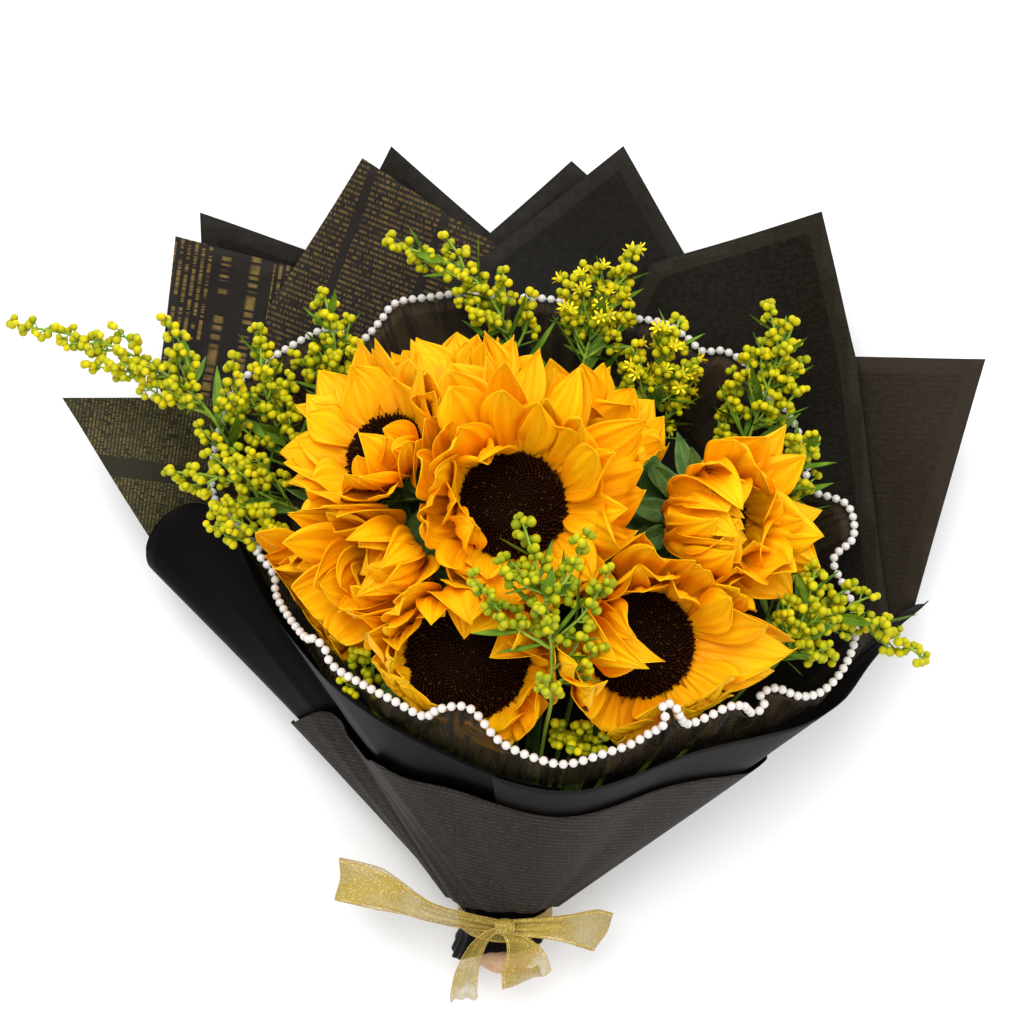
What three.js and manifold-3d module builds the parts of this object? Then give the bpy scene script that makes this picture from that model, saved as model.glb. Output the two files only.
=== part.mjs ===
// Bunch of sunflowers with goldenrod, wrapped in dark paper and laid on its back.
// Millimetres, +Z up. The origin is on the flat underside of the lowest back sheet, below the
// middle bloom. The blooms face up, the back sheets fan out towards +Y, and the tied stem ends
// point to -Y.
import * as THREE from 'three';
import { mergeVertices } from 'three/addons/utils/BufferGeometryUtils.js';
import Module from 'manifold-3d';

const wasm = await Module();
wasm.setup();

// ---------------------------------------------------------------- driving dimensions
const PLATE_LIP = 3.5;             // the plate under a disc reaches past it by this much
const PETAL_LENGTH = 52;
const PETAL_WIDTH = 29;
const PETAL_THICKNESS = 0.8;
const STEM_RADIUS = 3.4;           // sunflower stem where it is tied
const SPRAY_STEM_RADIUS = 1.5;     // goldenrod stem
const BUD_RADIUS = 2.6;
const PAPER_THICKNESS = 0.9;
const SHEET_PITCH = 1.6;           // one back sheet to the next, where they lie flat
const PEARL_RADIUS = 2.5;
const RIBBON_WIDTH = 24;
const RIBBON_THICKNESS = 0.8;
const BUNDLE_RADIUS = 20.5;        // all the stems together at the tie

const TIE = new THREE.Vector3(-4, -219, 38);
const HANDLE_AXIS = new THREE.Vector3(0, -0.94, -0.34).normalize();   // tie to stem ends
const HEAD_AXIS = new THREE.Vector3(0.02, 0.89, 0.455).normalize();   // tie to blooms
const UP = new THREE.Vector3(0, 0, 1);

const COLOURS = {
  petal: 0xffb400,
  disc: 0x24130c,
  green: 0x3f6b22,
  spray: 0xa9b00d,
  paper: 0x23201c,
  net: 0x2c2418,
  pearl: 0xf3f1ea,
  ribbon: 0xc8a95a,
  wad: 0xd9ab84,
};

// ---------------------------------------------------------------- small helpers
const vec = (x, y, z) => new THREE.Vector3(x, y, z);
const mix = (a, b, t) => a + (b - a) * t;
const clamp01 = (t) => Math.min(1, Math.max(0, t));
const radians = THREE.MathUtils.degToRad;
const GOLDEN_ANGLE = radians(137.5);

function seeded(seed) {
  let state = seed * 7919 + 13;
  return () => {
    state = (state * 1664525 + 1013904223) % 4294967296;
    return state / 4294967296;
  };
}

function curveThrough(points, closed = false) {
  return new THREE.CatmullRomCurve3(points, closed, 'centripetal');
}

// Two unit vectors across a direction; the first one lies as near to +X as it can.
function acrossOf(direction) {
  const first = vec(1, 0, 0).addScaledVector(direction, -direction.x);
  if (first.length() < 0.3) {
    first.set(0, 1, 0).addScaledVector(direction, -direction.y);
  }
  first.normalize();
  return [first, direction.clone().cross(first)];
}

function meshFrom(positions, indices) {
  const geometry = new THREE.BufferGeometry();
  geometry.setAttribute('position', new THREE.Float32BufferAttribute(positions, 3));
  geometry.setIndex(indices);
  return geometry;
}

function toSolid(geometry) {
  const bare = geometry.clone();
  bare.deleteAttribute('normal');
  bare.deleteAttribute('uv');
  const merged = mergeVertices(bare, 1e-4);
  return new wasm.Manifold(new wasm.Mesh({
    numProp: 3,
    vertProperties: new Float32Array(merged.attributes.position.array),
    triVerts: new Uint32Array(merged.index.array),
  }));
}

function fromSolid(solid) {
  const mesh = solid.getMesh();
  const positions = [];
  for (let i = 0; i < mesh.vertProperties.length; i += mesh.numProp) {
    positions.push(...mesh.vertProperties.subarray(i, i + 3));
  }
  return meshFrom(positions, Array.from(mesh.triVerts));
}

// Joins the pieces of one node; only the largest body stays, so that no scrap is left loose.
function fuse(geometries) {
  const joined = wasm.Manifold.union(geometries.map(toSolid));
  const bodies = joined.decompose().sort((a, b) => b.volume() - a.volume());
  return fromSolid(bodies[0]);
}

// A closed thin sheet over a grid of points; the last row may be a single point, the tip.
// Both faces are split along the same diagonals.
function sheet(rows, thickness) {
  const positions = [];
  const normals = rows.map((row, i) => row.map((point, j) => sheetNormal(rows, i, j)));
  const index = [[], []];
  for (const side of [0, 1]) {
    rows.forEach((row, i) => {
      index[side].push(row.map((point, j) => {
        const at = point.clone().addScaledVector(normals[i][j], thickness * (0.5 - side));
        positions.push(at.x, at.y, at.z);
        return positions.length / 3 - 1;
      }));
    });
  }
  const indices = [];
  const cell = (a, b, c) => {
    indices.push(index[0][a[0]][a[1]], index[0][b[0]][b[1]], index[0][c[0]][c[1]]);
    indices.push(index[1][a[0]][a[1]], index[1][c[0]][c[1]], index[1][b[0]][b[1]]);
  };
  for (let i = 0; i + 1 < rows.length; i += 1) {
    for (let j = 0; j + 1 < rows[i].length; j += 1) {
      if (rows[i + 1].length === 1) {
        cell([i, j], [i, j + 1], [i + 1, 0]);
      } else if ((i + j) % 2) {
        cell([i, j], [i, j + 1], [i + 1, j + 1]);
        cell([i, j], [i + 1, j + 1], [i + 1, j]);
      } else {
        cell([i, j], [i, j + 1], [i + 1, j]);
        cell([i, j + 1], [i + 1, j + 1], [i + 1, j]);
      }
    }
  }
  const loop = rimOfGrid(rows);
  loop.forEach((from, k) => {
    const to = loop[(k + 1) % loop.length];
    const [a, b] = [index[0][from[0]][from[1]], index[0][to[0]][to[1]]];
    const [c, d] = [index[1][from[0]][from[1]], index[1][to[0]][to[1]]];
    indices.push(b, a, c, b, c, d);
  });
  return meshFrom(positions, indices);
}

function sheetNormal(rows, i, j) {
  const at = (row, column) => {
    const r = rows[Math.min(rows.length - 1, Math.max(0, row))];
    return r[Math.min(r.length - 1, Math.max(0, column))];
  };
  let along = at(i + 1, j).clone().sub(at(i - 1, j));
  let across = at(i, j + 1).clone().sub(at(i, j - 1));
  if (rows[i].length === 1) {
    const before = rows[i - 1];
    across = before[before.length - 1].clone().sub(before[0]);
    along = rows[i][0].clone().sub(before[(before.length - 1) >> 1]);
  }
  return across.cross(along).normalize();
}

function rimOfGrid(rows) {
  const last = rows.length - 1;
  const loop = rows[0].map((point, j) => [0, j]);
  for (let i = 1; i <= last; i += 1) {
    loop.push([i, rows[i].length - 1]);
  }
  for (let j = rows[last].length - 2; j >= 0; j -= 1) {
    loop.push([last, j]);
  }
  for (let i = last - 1; i > 0; i -= 1) {
    loop.push([i, 0]);
  }
  return loop;
}

// A closed tube through round rings, each given by its middle and radius.
function ringTube(rings, sides, turn = 0) {
  const positions = [];
  const indices = [];
  const last = rings.length - 1;
  let side = null;
  rings.forEach(({ at, radius }, i) => {
    const direction = rings[Math.min(last, i + 1)].at.clone()
      .sub(rings[Math.max(0, i - 1)].at).normalize();
    side = side ? side.addScaledVector(direction, -side.dot(direction)).normalize()
      : acrossOf(direction)[0];
    const other = direction.clone().cross(side);
    for (let k = 0; k < sides; k += 1) {
      const angle = turn + (k / sides) * 2 * Math.PI;
      const point = at.clone().addScaledVector(side, radius * Math.cos(angle))
        .addScaledVector(other, radius * Math.sin(angle));
      positions.push(point.x, point.y, point.z);
    }
  });
  for (let i = 0; i < last; i += 1) {
    for (let k = 0; k < sides; k += 1) {
      const [a, b] = [i * sides + k, i * sides + ((k + 1) % sides)];
      indices.push(a, b, b + sides, a, b + sides, a + sides);
    }
  }
  for (let k = 1; k + 1 < sides; k += 1) {
    const end = last * sides;
    indices.push(0, k + 1, k, end, end + k, end + k + 1);
  }
  return meshFrom(positions, indices);
}

function tube(curve, radii, sides, turn = 0) {
  const last = radii.length - 1;
  const rings = radii.map((radius, i) => ({ at: curve.getPointAt(i / last), radius }));
  return ringTube(rings, sides, turn);
}

function place(geometry, position, direction) {
  const turn = new THREE.Quaternion().setFromUnitVectors(UP, direction);
  return geometry.applyQuaternion(turn).translate(position.x, position.y, position.z);
}

// ---------------------------------------------------------------- front of the wrap
// The rim of the wrap from its left lower edge, over the rolled lip and the front, to its right
// lower edge. Straight lines run from it to the neck.
const RIM = [
  [-206, -22, 24], [-210, -22, 48], [-192, -2, 66], [-173, 5, 78], [-157, -3, 83],
  [-135, -42, 105], [-111, -73, 128], [-89, -93, 142], [-42, -120, 158], [25, -140, 169],
  [97, -121, 150], [150, -112, 120], [178, -100, 92], [200, -76, 74], [226, -48, 70],
  [230, -50, 44], [224, -52, 24],
].map((p) => vec(...p));
const RIM_CURVE = curveThrough(RIM);
const NECK_HALF_WIDTH = 33;
const NECK_HALF_HEIGHT = 30;
const WRAP_STATIONS = 32;
const WRAP_STEPS = 3;
const HEART_DISTANCE = 120;    // tie to the middle of the wrap

function neckPoint(share, wider) {
  const angle = radians(mix(68, 292, share));
  return vec(
    -2 - (NECK_HALF_WIDTH + wider) * Math.sin(angle),
    -210 + 7 * Math.cos(angle),
    38 - (NECK_HALF_HEIGHT + wider) * Math.cos(angle),
  );
}

function wrapPoint(share, t) {
  const rim = RIM_CURVE.getPoint(share);
  const neck = neckPoint(share, 0);
  const point = neck.lerp(rim, t);
  const atEdge = clamp01(1 - 8 * Math.min(share, 1 - share));
  point.z -= 12 * atEdge * Math.sin(Math.PI * t);
  return point;
}

// A point of the wrap and its normal, which faces away from the flowers.
function wrapFrame(share, t) {
  const point = wrapPoint(share, t);
  const along = wrapPoint(share, t + 0.02).sub(wrapPoint(share, t - 0.02));
  const round = wrapPoint(Math.min(1, share + 0.004), t)
    .sub(wrapPoint(Math.max(0, share - 0.004), t));
  const normal = round.cross(along).normalize();
  const outward = point.clone().sub(TIE).addScaledVector(HEAD_AXIS, -HEART_DISTANCE);
  return { point, normal: normal.dot(outward) < 0 ? normal.negate() : normal };
}

// from and to count the stations round the rim, which all the front sheets share.
function wrapSheet({ from, to, outside, top }) {
  const rows = [];
  for (let station = from; station <= to; station += 1) {
    const share = station / WRAP_STATIONS;
    const reach = top ? top((station - from) / (to - from)) : 1;
    const row = [];
    for (let j = 0; j <= WRAP_STEPS; j += 1) {
      const { point, normal } = wrapFrame(share, (j / WRAP_STEPS) * reach);
      row.push(point.addScaledVector(normal, outside));
    }
    rows.push(row);
  }
  return sheet(rows, PAPER_THICKNESS);
}

// How far up the wrap the outer sheet reaches, from its left end to its right one.
const PRINT_TOP = [0.5, 0.48, 0.48, 0.55, 0.68, 0.83, 0.8, 0.73, 0.6, 0.5];

function printTop(share) {
  const place = share * (PRINT_TOP.length - 1);
  const start = Math.min(Math.floor(place), PRINT_TOP.length - 2);
  return mix(PRINT_TOP[start], PRINT_TOP[start + 1], place - start);
}

const FRONT_SHEETS = [
  { name: 'paper_front_left', from: 0, to: 18, outside: 0 },
  { name: 'paper_front_right', from: 17, to: 32, outside: 2.2 },
  {
    name: 'paper_front_outer', from: 1, to: 30, outside: 4.6,
    top: printTop,
  },
];

// ---------------------------------------------------------------- blooms
// at: middle of the disc. face: where the bloom looks. folds: petals near an azimuth in degrees
// (0 is to the right, 90 is up the picture) that stand up (90) or close over the disc (over 90).
const BLOOMS = [
  {
    name: 'centre', at: [0, 3, 162], face: [0, 0.06, 1], disc: 26, petals: 15, reach: 1.25,
    width: 1.15,
    folds: [
      { toward: 45, spread: 80, lift: 6, over: 10 },
      { toward: 150, spread: 60, lift: 30, over: 30 },
      { toward: 215, spread: 40, lift: 10, over: 50 },
    ],
  },
  {
    name: 'front_left', at: [-23, -75, 156], face: [-0.05, -0.08, 0.99], disc: 29, petals: 12,
    reach: 1.1, width: 1.2, notch: [[0.75, -0.66, 0], [6, -108, 0]],
    folds: [
      { toward: 85, spread: 95, lift: 26, over: 76 },
      { toward: 335, spread: 60, lift: 20, over: 46 },
      { toward: 235, spread: 60, lift: 20, over: 0 },
    ],
  },
  {
    name: 'front_right', at: [66, -68, 154], face: [0.12, -0.06, 0.98], disc: 26, petals: 13,
    reach: 1.15, width: 1.15, notch: [[-0.75, -0.66, 0], [44, -104, 0]],
    folds: [
      { toward: 110, spread: 80, lift: 20, over: 34 },
      { toward: 170, spread: 40, lift: 40, over: 70 },
      { toward: 290, spread: 50, lift: 4, over: 24 },
    ],
  },
  {
    name: 'right', at: [101, -4, 132], face: [0.22, -0.05, 0.97], disc: 20, petals: 10,
    reach: 1.1, width: 1.2, folds: [{ toward: 100, spread: 300, lift: 26, over: 50 }],
  },
  {
    name: 'left', at: [-66, 31, 134], face: [-0.42, 0.46, 0.78], disc: 20, petals: 11, reach: 1.0,
    width: 1.15, folds: [{ toward: 318, spread: 105, lift: 40, over: 36 }],
  },
  {
    name: 'back_left', at: [-30, 57, 116], face: [-0.15, 0.8, 0.58], disc: 16, petals: 9,
    reach: 0.85, width: 1.2, folds: [{ toward: 270, spread: 150, lift: 34, over: 30 }],
  },
  {
    name: 'back_right', at: [42, 29, 110], face: [0.35, 0.5, 0.79], disc: 16, petals: 9,
    reach: 1.0, width: 1.2, folds: [{ toward: 240, spread: 160, lift: 34, over: 40 }],
  },
  {
    name: 'low_left', at: [-60, -26, 138], face: [-0.45, -0.2, 0.86], disc: 14, petals: 8,
    reach: 1.1, width: 1.2, folds: [{ toward: 90, spread: 400, lift: 30, over: 50 }],
  },
  {
    name: 'far_left', at: [-89, -42, 98], face: [-0.42, -0.1, 0.9], disc: 14, petals: 8,
    reach: 1.15, width: 1.2, folds: [{ toward: 30, spread: 400, lift: 26, over: 44 }],
  },
].map((bloom) => ({
  ...bloom,
  centre: vec(...bloom.at),
  normal: vec(...bloom.face).normalize(),
  plate: bloom.disc + PLATE_LIP,
  width: bloom.width ?? 1,
}));

const CROWD_MARGIN = 1.0;     // each bloom stays this far from the plane it shares
const CROWD_SOFTNESS = 11;    // petals begin to bend this far from that plane
const WALL_SOFTNESS = 5;      // and this far from the wrap
const WALL_MARGIN = 10;       // room for the net between the petals and the wrap
const PLATE_THICKNESS = 3;

// The planes that keep a bloom to its own place: one for each neighbour, and the wrap's front.
function planesRound(bloom) {
  const planes = BLOOMS.filter((other) => other !== bloom).map((other) => {
    const normal = other.centre.clone().sub(bloom.centre);
    const share = bloom.reach / (bloom.reach + other.reach);
    const limit = normal.length() * share - CROWD_MARGIN;
    return { normal: normal.normalize(), limit, lift: 0.3, soft: CROWD_SOFTNESS };
  });
  for (let share = 0.27; share < 0.8; share += 0.06) {
    const { point, normal } = wrapFrame(share, 0.9);
    const limit = point.sub(bloom.centre).dot(normal) - WALL_MARGIN;
    planes.push({ normal, limit, lift: 0.1, soft: WALL_SOFTNESS });
  }
  if (bloom.notch) {
    const [normal, through] = bloom.notch.map((p) => vec(...p));
    const limit = through.sub(bloom.centre).dot(normal);
    planes.push({ normal, limit, lift: 0.2, soft: CROWD_SOFTNESS });
  }
  return planes;
}

// Bends a point of a bloom back from the planes round it.
function bentClear(point, bloom) {
  const bent = point.clone();
  for (const effort of [1, 0.3, 0.1]) {
    for (const { normal, limit, lift, soft } of bloom.planes) {
      const beyond = bent.clone().sub(bloom.centre).dot(normal) - limit + soft;
      if (beyond > 0) {
        const back = beyond - beyond / (1 + beyond / soft);
        bent.addScaledVector(normal, -back);
        bent.addScaledVector(bloom.normal, back * lift * effort);
      }
    }
  }
  return bent;
}

const BLADE_STEPS = 2;        // along a petal or bract

// Outline of a petal or bract: share of its full width at a share of its length.
const bladeWidth = (t, fullest) => {
  const rise = Math.sin(Math.min(1, t / fullest) * Math.PI / 2);
  const fall = t < fullest ? 1 : Math.cos(((t - fullest) / (1 - fullest)) * Math.PI / 2) ** 0.8;
  return mix(0.28, 1, rise) * fall;
};

// A blade rooted near the rim of a bloom. rise and tip are its slopes at root and tip.
function bloomBlade(bloom, blade) {
  const [right, up] = acrossOf(bloom.normal);
  const out = right.clone().multiplyScalar(Math.cos(blade.azimuth))
    .addScaledVector(up, Math.sin(blade.azimuth));
  const side = bloom.normal.clone().cross(out);
  const at = bloom.centre.clone().addScaledVector(out, blade.root)
    .addScaledVector(bloom.normal, blade.height);
  const rows = [];
  for (let i = 0; i <= BLADE_STEPS; i += 1) {
    const t = i / BLADE_STEPS;
    const slope = mix(blade.rise, blade.tip, Math.max(0, t - 0.5 / BLADE_STEPS) ** 1.4);
    const direction = out.clone().multiplyScalar(Math.cos(slope))
      .addScaledVector(bloom.normal, Math.sin(slope));
    if (i > 0) {
      at.addScaledVector(direction, blade.length / BLADE_STEPS);
    }
    const over = direction.clone().cross(side).negate();
    const half = (blade.width / 2) * bladeWidth(t, 0.5);
    const row = (i === BLADE_STEPS ? [0] : blade.across).map((share) => {
      const point = at.clone().addScaledVector(side, share * half);
      point.addScaledVector(over, -blade.cup * share * share * half);
      return i === 0 ? point : bentClear(point, bloom);
    });
    rows.push(row);
  }
  return sheet(rows, blade.thickness ?? PETAL_THICKNESS);
}

function foldAt(bloom, azimuth) {
  let lift = 0;
  let over = 0;
  for (const fold of bloom.folds) {
    const turn = Math.abs(((azimuth - radians(fold.toward)) / Math.PI + 5) % 2 - 1) * 180;
    const share = clamp01(1.3 - turn / fold.spread);
    lift += fold.lift * share;
    over += fold.over * share;
  }
  return { lift, over };
}

function petalsOf(bloom, seed) {
  const draw = seeded(seed);
  const plate = place(
    new THREE.CylinderGeometry(bloom.plate, bloom.plate - 4, PLATE_THICKNESS, 12)
      .rotateX(Math.PI / 2),
    bloom.centre.clone().addScaledVector(bloom.normal, -PLATE_THICKNESS / 2),
    bloom.normal,
  );
  const pieces = [plate];
  for (let k = 0; k < bloom.petals; k += 1) {
    const inner = k % 2 === 1;
    const azimuth = ((k + 0.2 * (draw() - 0.5)) / bloom.petals) * 2 * Math.PI;
    const { lift, over } = foldAt(bloom, azimuth);
    const rise = Math.min(84, (inner ? 40 : 15) + 6 * draw() + lift);
    pieces.push(bloomBlade(bloom, {
      azimuth,
      root: bloom.plate - (inner ? 1.6 : 0.8),
      height: -PLATE_THICKNESS * (inner ? 0.35 : 0.6),
      length: PETAL_LENGTH * bloom.reach * (inner ? 0.86 : 1) * mix(0.94, 1.06, draw()),
      width: PETAL_WIDTH * bloom.width * mix(0.92, 1.08, draw()),
      rise: radians(rise),
      tip: radians(rise + over + mix(-16, 14, draw())),
      cup: mix(0, 0.3, draw()),
      across: [-1, 0, 1],
    }));
  }
  return fuse(pieces);
}

// The disc: a low dome with a dip in its middle, raised in a spiral chequer of florets.
function discOf(bloom) {
  const rings = 3;
  const sectors = 12;
  const positions = [0, 0, 3.2];
  for (let ring = 1; ring <= rings; ring += 1) {
    const share = ring / rings;
    for (let k = 0; k < sectors; k += 1) {
      const angle = ((k + share * 2.5) / sectors) * 2 * Math.PI;
      const dome = 3.2 + 4.2 * Math.sin(share * Math.PI * 0.8) - 2.6 * share ** 4;
      const floret = ring < rings && (k + ring) % 2 ? 0.9 : 0;
      const radius = bloom.disc * share;
      positions.push(radius * Math.cos(angle), radius * Math.sin(angle), dome + floret);
    }
  }
  const indices = [];
  const at = (ring, k) => 1 + (ring - 1) * sectors + (k % sectors);
  for (let k = 0; k < sectors; k += 1) {
    indices.push(0, at(1, k), at(1, k + 1));
    for (let ring = 1; ring < rings; ring += 1) {
      indices.push(at(ring, k), at(ring + 1, k), at(ring + 1, k + 1));
      indices.push(at(ring, k), at(ring + 1, k + 1), at(ring, k + 1));
    }
  }
  const foot = positions.length / 3;
  for (let k = 0; k < sectors; k += 1) {
    const angle = ((k + 2.5) / sectors) * 2 * Math.PI;
    positions.push((bloom.disc - 1) * Math.cos(angle), (bloom.disc - 1) * Math.sin(angle), 0.4);
    const next = (k + 1) % sectors;
    indices.push(at(rings, k), foot + k, foot + next, at(rings, k), foot + next, at(rings, next));
    if (k > 1) {
      indices.push(foot, foot + k, foot + k - 1);
    }
  }
  return place(meshFrom(positions, indices), bloom.centre, bloom.normal);
}

// ---------------------------------------------------------------- stems in the tie
// Every stem aims at a point behind the tie, so that no two cross; in the tie they are then
// pushed apart until they lie side by side.
const SPRAYS = [
  { name: 'left_tip', route: [[-150, 24, 58], [-172, 62, 80], [-217, 90, 96], [-268, 101, 100]],
    flowering: 150, twig: 15 },
  { name: 'left_inner', route: [[-119, 24, 52], [-131, 51, 70], [-137, 78, 78], [-137, 100, 80]],
    flowering: 80, twig: 14 },
  { name: 'left_up', route: [[-82, 46, 38], [-96, 76, 56], [-99, 100, 62], [-104, 121, 63]],
    flowering: 70, twig: 14 },
  { name: 'left_low', route: [[-104, -8, 64], [-128, 6, 82], [-155, 18, 90], [-186, 22, 92]],
    flowering: 78, twig: 16 },
  { name: 'top_arch', route: [[5, 70, 40], [-2, 100, 54], [-22, 130, 62], [-68, 150, 62]],
    flowering: 105, twig: 13 },
  { name: 'top_right', route: [[38, 74, 42], [46, 104, 54], [58, 128, 62], [69, 146, 62]],
    flowering: 75, twig: 15 },
  { name: 'upper_right', route: [[74, 52, 48], [82, 76, 62], [88, 92, 70], [92, 106, 72]],
    flowering: 60, twig: 16 },
  { name: 'right_up', route: [[125, 24, 50], [137, 58, 66], [146, 89, 74], [140, 113, 76]],
    flowering: 75, twig: 16 },
  { name: 'right_mid', route: [[137, -4, 60], [149, 17, 78], [156, 28, 88], [164, 41, 92]],
    flowering: 50, twig: 13 },
  { name: 'right_low', route: [[136, -60, 90], [153, -58, 108], [188, -57, 118], [219, -78, 118]],
    flowering: 100, twig: 15 },
  { name: 'right_front', route: [[128, -90, 112], [142, -76, 128], [152, -55, 138],
    [158, -30, 141]], flowering: 60, twig: 13 },
  { name: 'front_mid', route: [[30, -130, 118], [33, -124, 142], [34, -117, 158],
    [37, -108, 167]], flowering: 36, twig: 11 },
  { name: 'front_left', route: [[-58, -104, 112], [-66, -94, 124], [-75, -84, 133],
    [-82, -74, 138]], flowering: 36, twig: 9 },
  { name: 'centre_front', route: [[17, -112, 160], [20, -88, 197], [17, -46, 214],
    [5, -4, 216]], flowering: 95, twig: 21 },
  { name: 'left_side', route: [[-118, -30, 66], [-130, -18, 84], [-144, -7, 92], [-160, 0, 95]],
    flowering: 46, twig: 12 },
].map((spray) => ({ ...spray, points: spray.route.map((p) => vec(...p)) }));

const APEX = TIE.clone().addScaledVector(HEAD_AXIS, -55);
const STEM_GAP = 1.2;         // between two stems in the tie

function bundleSlots(aims) {
  const [right, up] = acrossOf(HEAD_AXIS);
  const slots = aims.map(({ target, radius }) => {
    const ray = target.clone().sub(APEX);
    const at = ray.multiplyScalar(55 / ray.dot(HEAD_AXIS));
    return { x: at.dot(right), y: at.dot(up), radius };
  });
  for (let round = 0; round < 400; round += 1) {
    for (let i = 0; i < slots.length; i += 1) {
      for (let j = 0; j < i; j += 1) {
        pushApart(slots[i], slots[j]);
      }
    }
    slots.forEach(pullInside);
  }
  return slots.map(({ x, y }) => TIE.clone().addScaledVector(right, x).addScaledVector(up, y));
}

function pushApart(a, b) {
  const [dx, dy] = [a.x - b.x, a.y - b.y];
  const distance = Math.hypot(dx, dy) || 1e-6;
  const lack = a.radius + b.radius + STEM_GAP - distance;
  if (lack > 0) {
    const push = (lack * 0.5) / distance;
    a.x += dx * push;
    a.y += dy * push;
    b.x -= dx * push;
    b.y -= dy * push;
  }
}

function pullInside(slot) {
  const out = Math.hypot(slot.x, slot.y);
  const most = BUNDLE_RADIUS - slot.radius;
  if (out > most) {
    slot.x *= most / out;
    slot.y *= most / out;
  }
}

for (const bloom of BLOOMS) {
  bloom.planes = planesRound(bloom);
}

const NECK_DROP = 45;     // the last stretch of a sunflower stem, straight behind its bloom
const aims = [
  ...BLOOMS.map((bloom) => ({
    target: bloom.centre.clone().addScaledVector(bloom.normal, -NECK_DROP),
    radius: STEM_RADIUS,
  })),
  ...SPRAYS.map((spray) => ({ target: spray.points[0], radius: SPRAY_STEM_RADIUS })),
];
const slots = bundleSlots(aims);

const TWIG_SPACING = 15;      // between side twigs, fewer than on a real spray
const STEM_TAIL = 17;     // length of stem below the tie

// A stem leaves its slot in the tie straight towards its target, then follows the points.
function stemCurve(slot, target, points) {
  const straight = [0, 0.12, 0.5, 0.86].map((share) => slot.clone().lerp(target, share));
  return curveThrough([...straight, target, ...points]);
}

// Rings of a stem from its cut end, through its slot, along the curve.
function stemRings(slot, curve, steps, radiusAt) {
  const level = slot.clone().sub(TIE).dot(HANDLE_AXIS);
  const end = slot.clone().addScaledVector(HANDLE_AXIS, STEM_TAIL - level);
  const rings = [{ at: end, radius: radiusAt(0) }];
  for (let i = 0; i <= steps; i += 1) {
    rings.push({ at: curve.getPointAt(i / steps), radius: radiusAt(i / steps) });
  }
  return rings;
}

// ---------------------------------------------------------------- green of a bloom
const CALYX_DEPTH = 13;
const BRACTS = 4;
const BRACT_DROP = 5;         // the bracts start this far under the petals' plate
function greenOf(bloom, slot, seed) {
  const draw = seeded(seed + 40);
  const below = (distance) => bloom.centre.clone().addScaledVector(bloom.normal, -distance);
  const top = PLATE_THICKNESS + 0.4;
  const stem = stemCurve(slot, below(NECK_DROP), [below(NECK_DROP * 0.7),
    below(top + CALYX_DEPTH)]);
  const rings = stemRings(slot, stem, 7, (share) => mix(STEM_RADIUS, 3.9, share));
  rings.push({ at: below(top + CALYX_DEPTH * 0.5), radius: bloom.disc * 0.6 });
  rings.push({ at: below(top), radius: bloom.plate - 5 });
  const pieces = [ringTube(rings, 6)];
  for (let k = 0; k < BRACTS; k += 1) {
    const azimuth = ((k + 0.3 * draw()) / BRACTS) * 2 * Math.PI;
    const rise = radians(-30 + 12 * draw() + Math.min(0, foldAt(bloom, azimuth).lift));
    pieces.push(bloomBlade(bloom, {
      azimuth,
      root: bloom.plate - 10,
      height: -top - BRACT_DROP,
      length: mix(26, 34, draw()),
      width: 15,
      rise,
      tip: rise + radians(14),
      cup: 0,
      across: [-1, 1],
    }));
  }
  return fuse(pieces);
}

// ---------------------------------------------------------------- goldenrod
function sprayOf(spray, slot, seed) {
  const draw = seeded(seed + 90);
  const curve = stemCurve(slot, spray.points[0], spray.points.slice(1));
  const length = curve.getLength();
  const rings = stemRings(slot, curve, Math.round(length / 32), (share) => (
    mix(SPRAY_STEM_RADIUS, 0.8, share)));
  const pieces = [ringTube(rings, 3)];
  const twigs = Math.round(spray.flowering / TWIG_SPACING);
  for (let k = 0; k < twigs; k += 1) {
    const share = k / (twigs - 1);
    const along = 1 - (spray.flowering / length) * (1 - share);
    pieces.push(twigOf(curve, Math.min(0.995, along), k * GOLDEN_ANGLE, share, spray, draw));
  }
  for (let k = 0; k < 2; k += 1) {
    const along = 1 - (spray.flowering * (1.15 - 0.35 * k)) / length;
    pieces.push(leafOf(curve, along, k * 2.4 + seed, 24));
  }
  return fuse(pieces);
}

// One side twig, which swells into its two round buds; the short ones near the tip have one.
function twigOf(curve, along, turn, share, spray, draw) {
  const from = curve.getPointAt(along);
  const direction = curve.getTangentAt(along);
  const [a, b] = acrossOf(direction);
  const out = a.multiplyScalar(Math.cos(turn)).addScaledVector(b, Math.sin(turn));
  const length = mix(spray.twig, 5, share ** 1.4) * mix(0.85, 1.1, draw());
  const lean = direction.clone().multiplyScalar(0.8).add(out).normalize();
  const end = from.clone().addScaledVector(lean, length);
  const inner = from.clone().lerp(end, 0.55).addScaledVector(direction, -0.08 * length);
  const bud = BUD_RADIUS * mix(0.95, 1.15, draw());
  const radii = length > 9 ? [0.8, 0.7, bud, 0.8, bud, 0.4] : [0.8, bud, 0.4];
  return tube(curveThrough([from, inner, end]), radii, 3, turn);
}

function leafOf(curve, along, turn, length) {
  const from = curve.getPointAt(along);
  const direction = curve.getTangentAt(along);
  const [a, b] = acrossOf(direction);
  const out = a.multiplyScalar(Math.cos(turn)).addScaledVector(b, Math.sin(turn));
  const lean = direction.clone().multiplyScalar(1.3).add(out).normalize();
  const side = lean.clone().cross(out).normalize();
  const rows = [0, 0.5, 1].map((t) => {
    const at = from.clone().addScaledVector(lean, length * t).addScaledVector(out, 3 * t * t);
    return (t === 1 ? [0] : [-1, 1]).map((share) => (
      at.clone().addScaledVector(side, share * 3.4 * bladeWidth(t, 0.5))));
  });
  return sheet(rows, 0.8);
}

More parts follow.
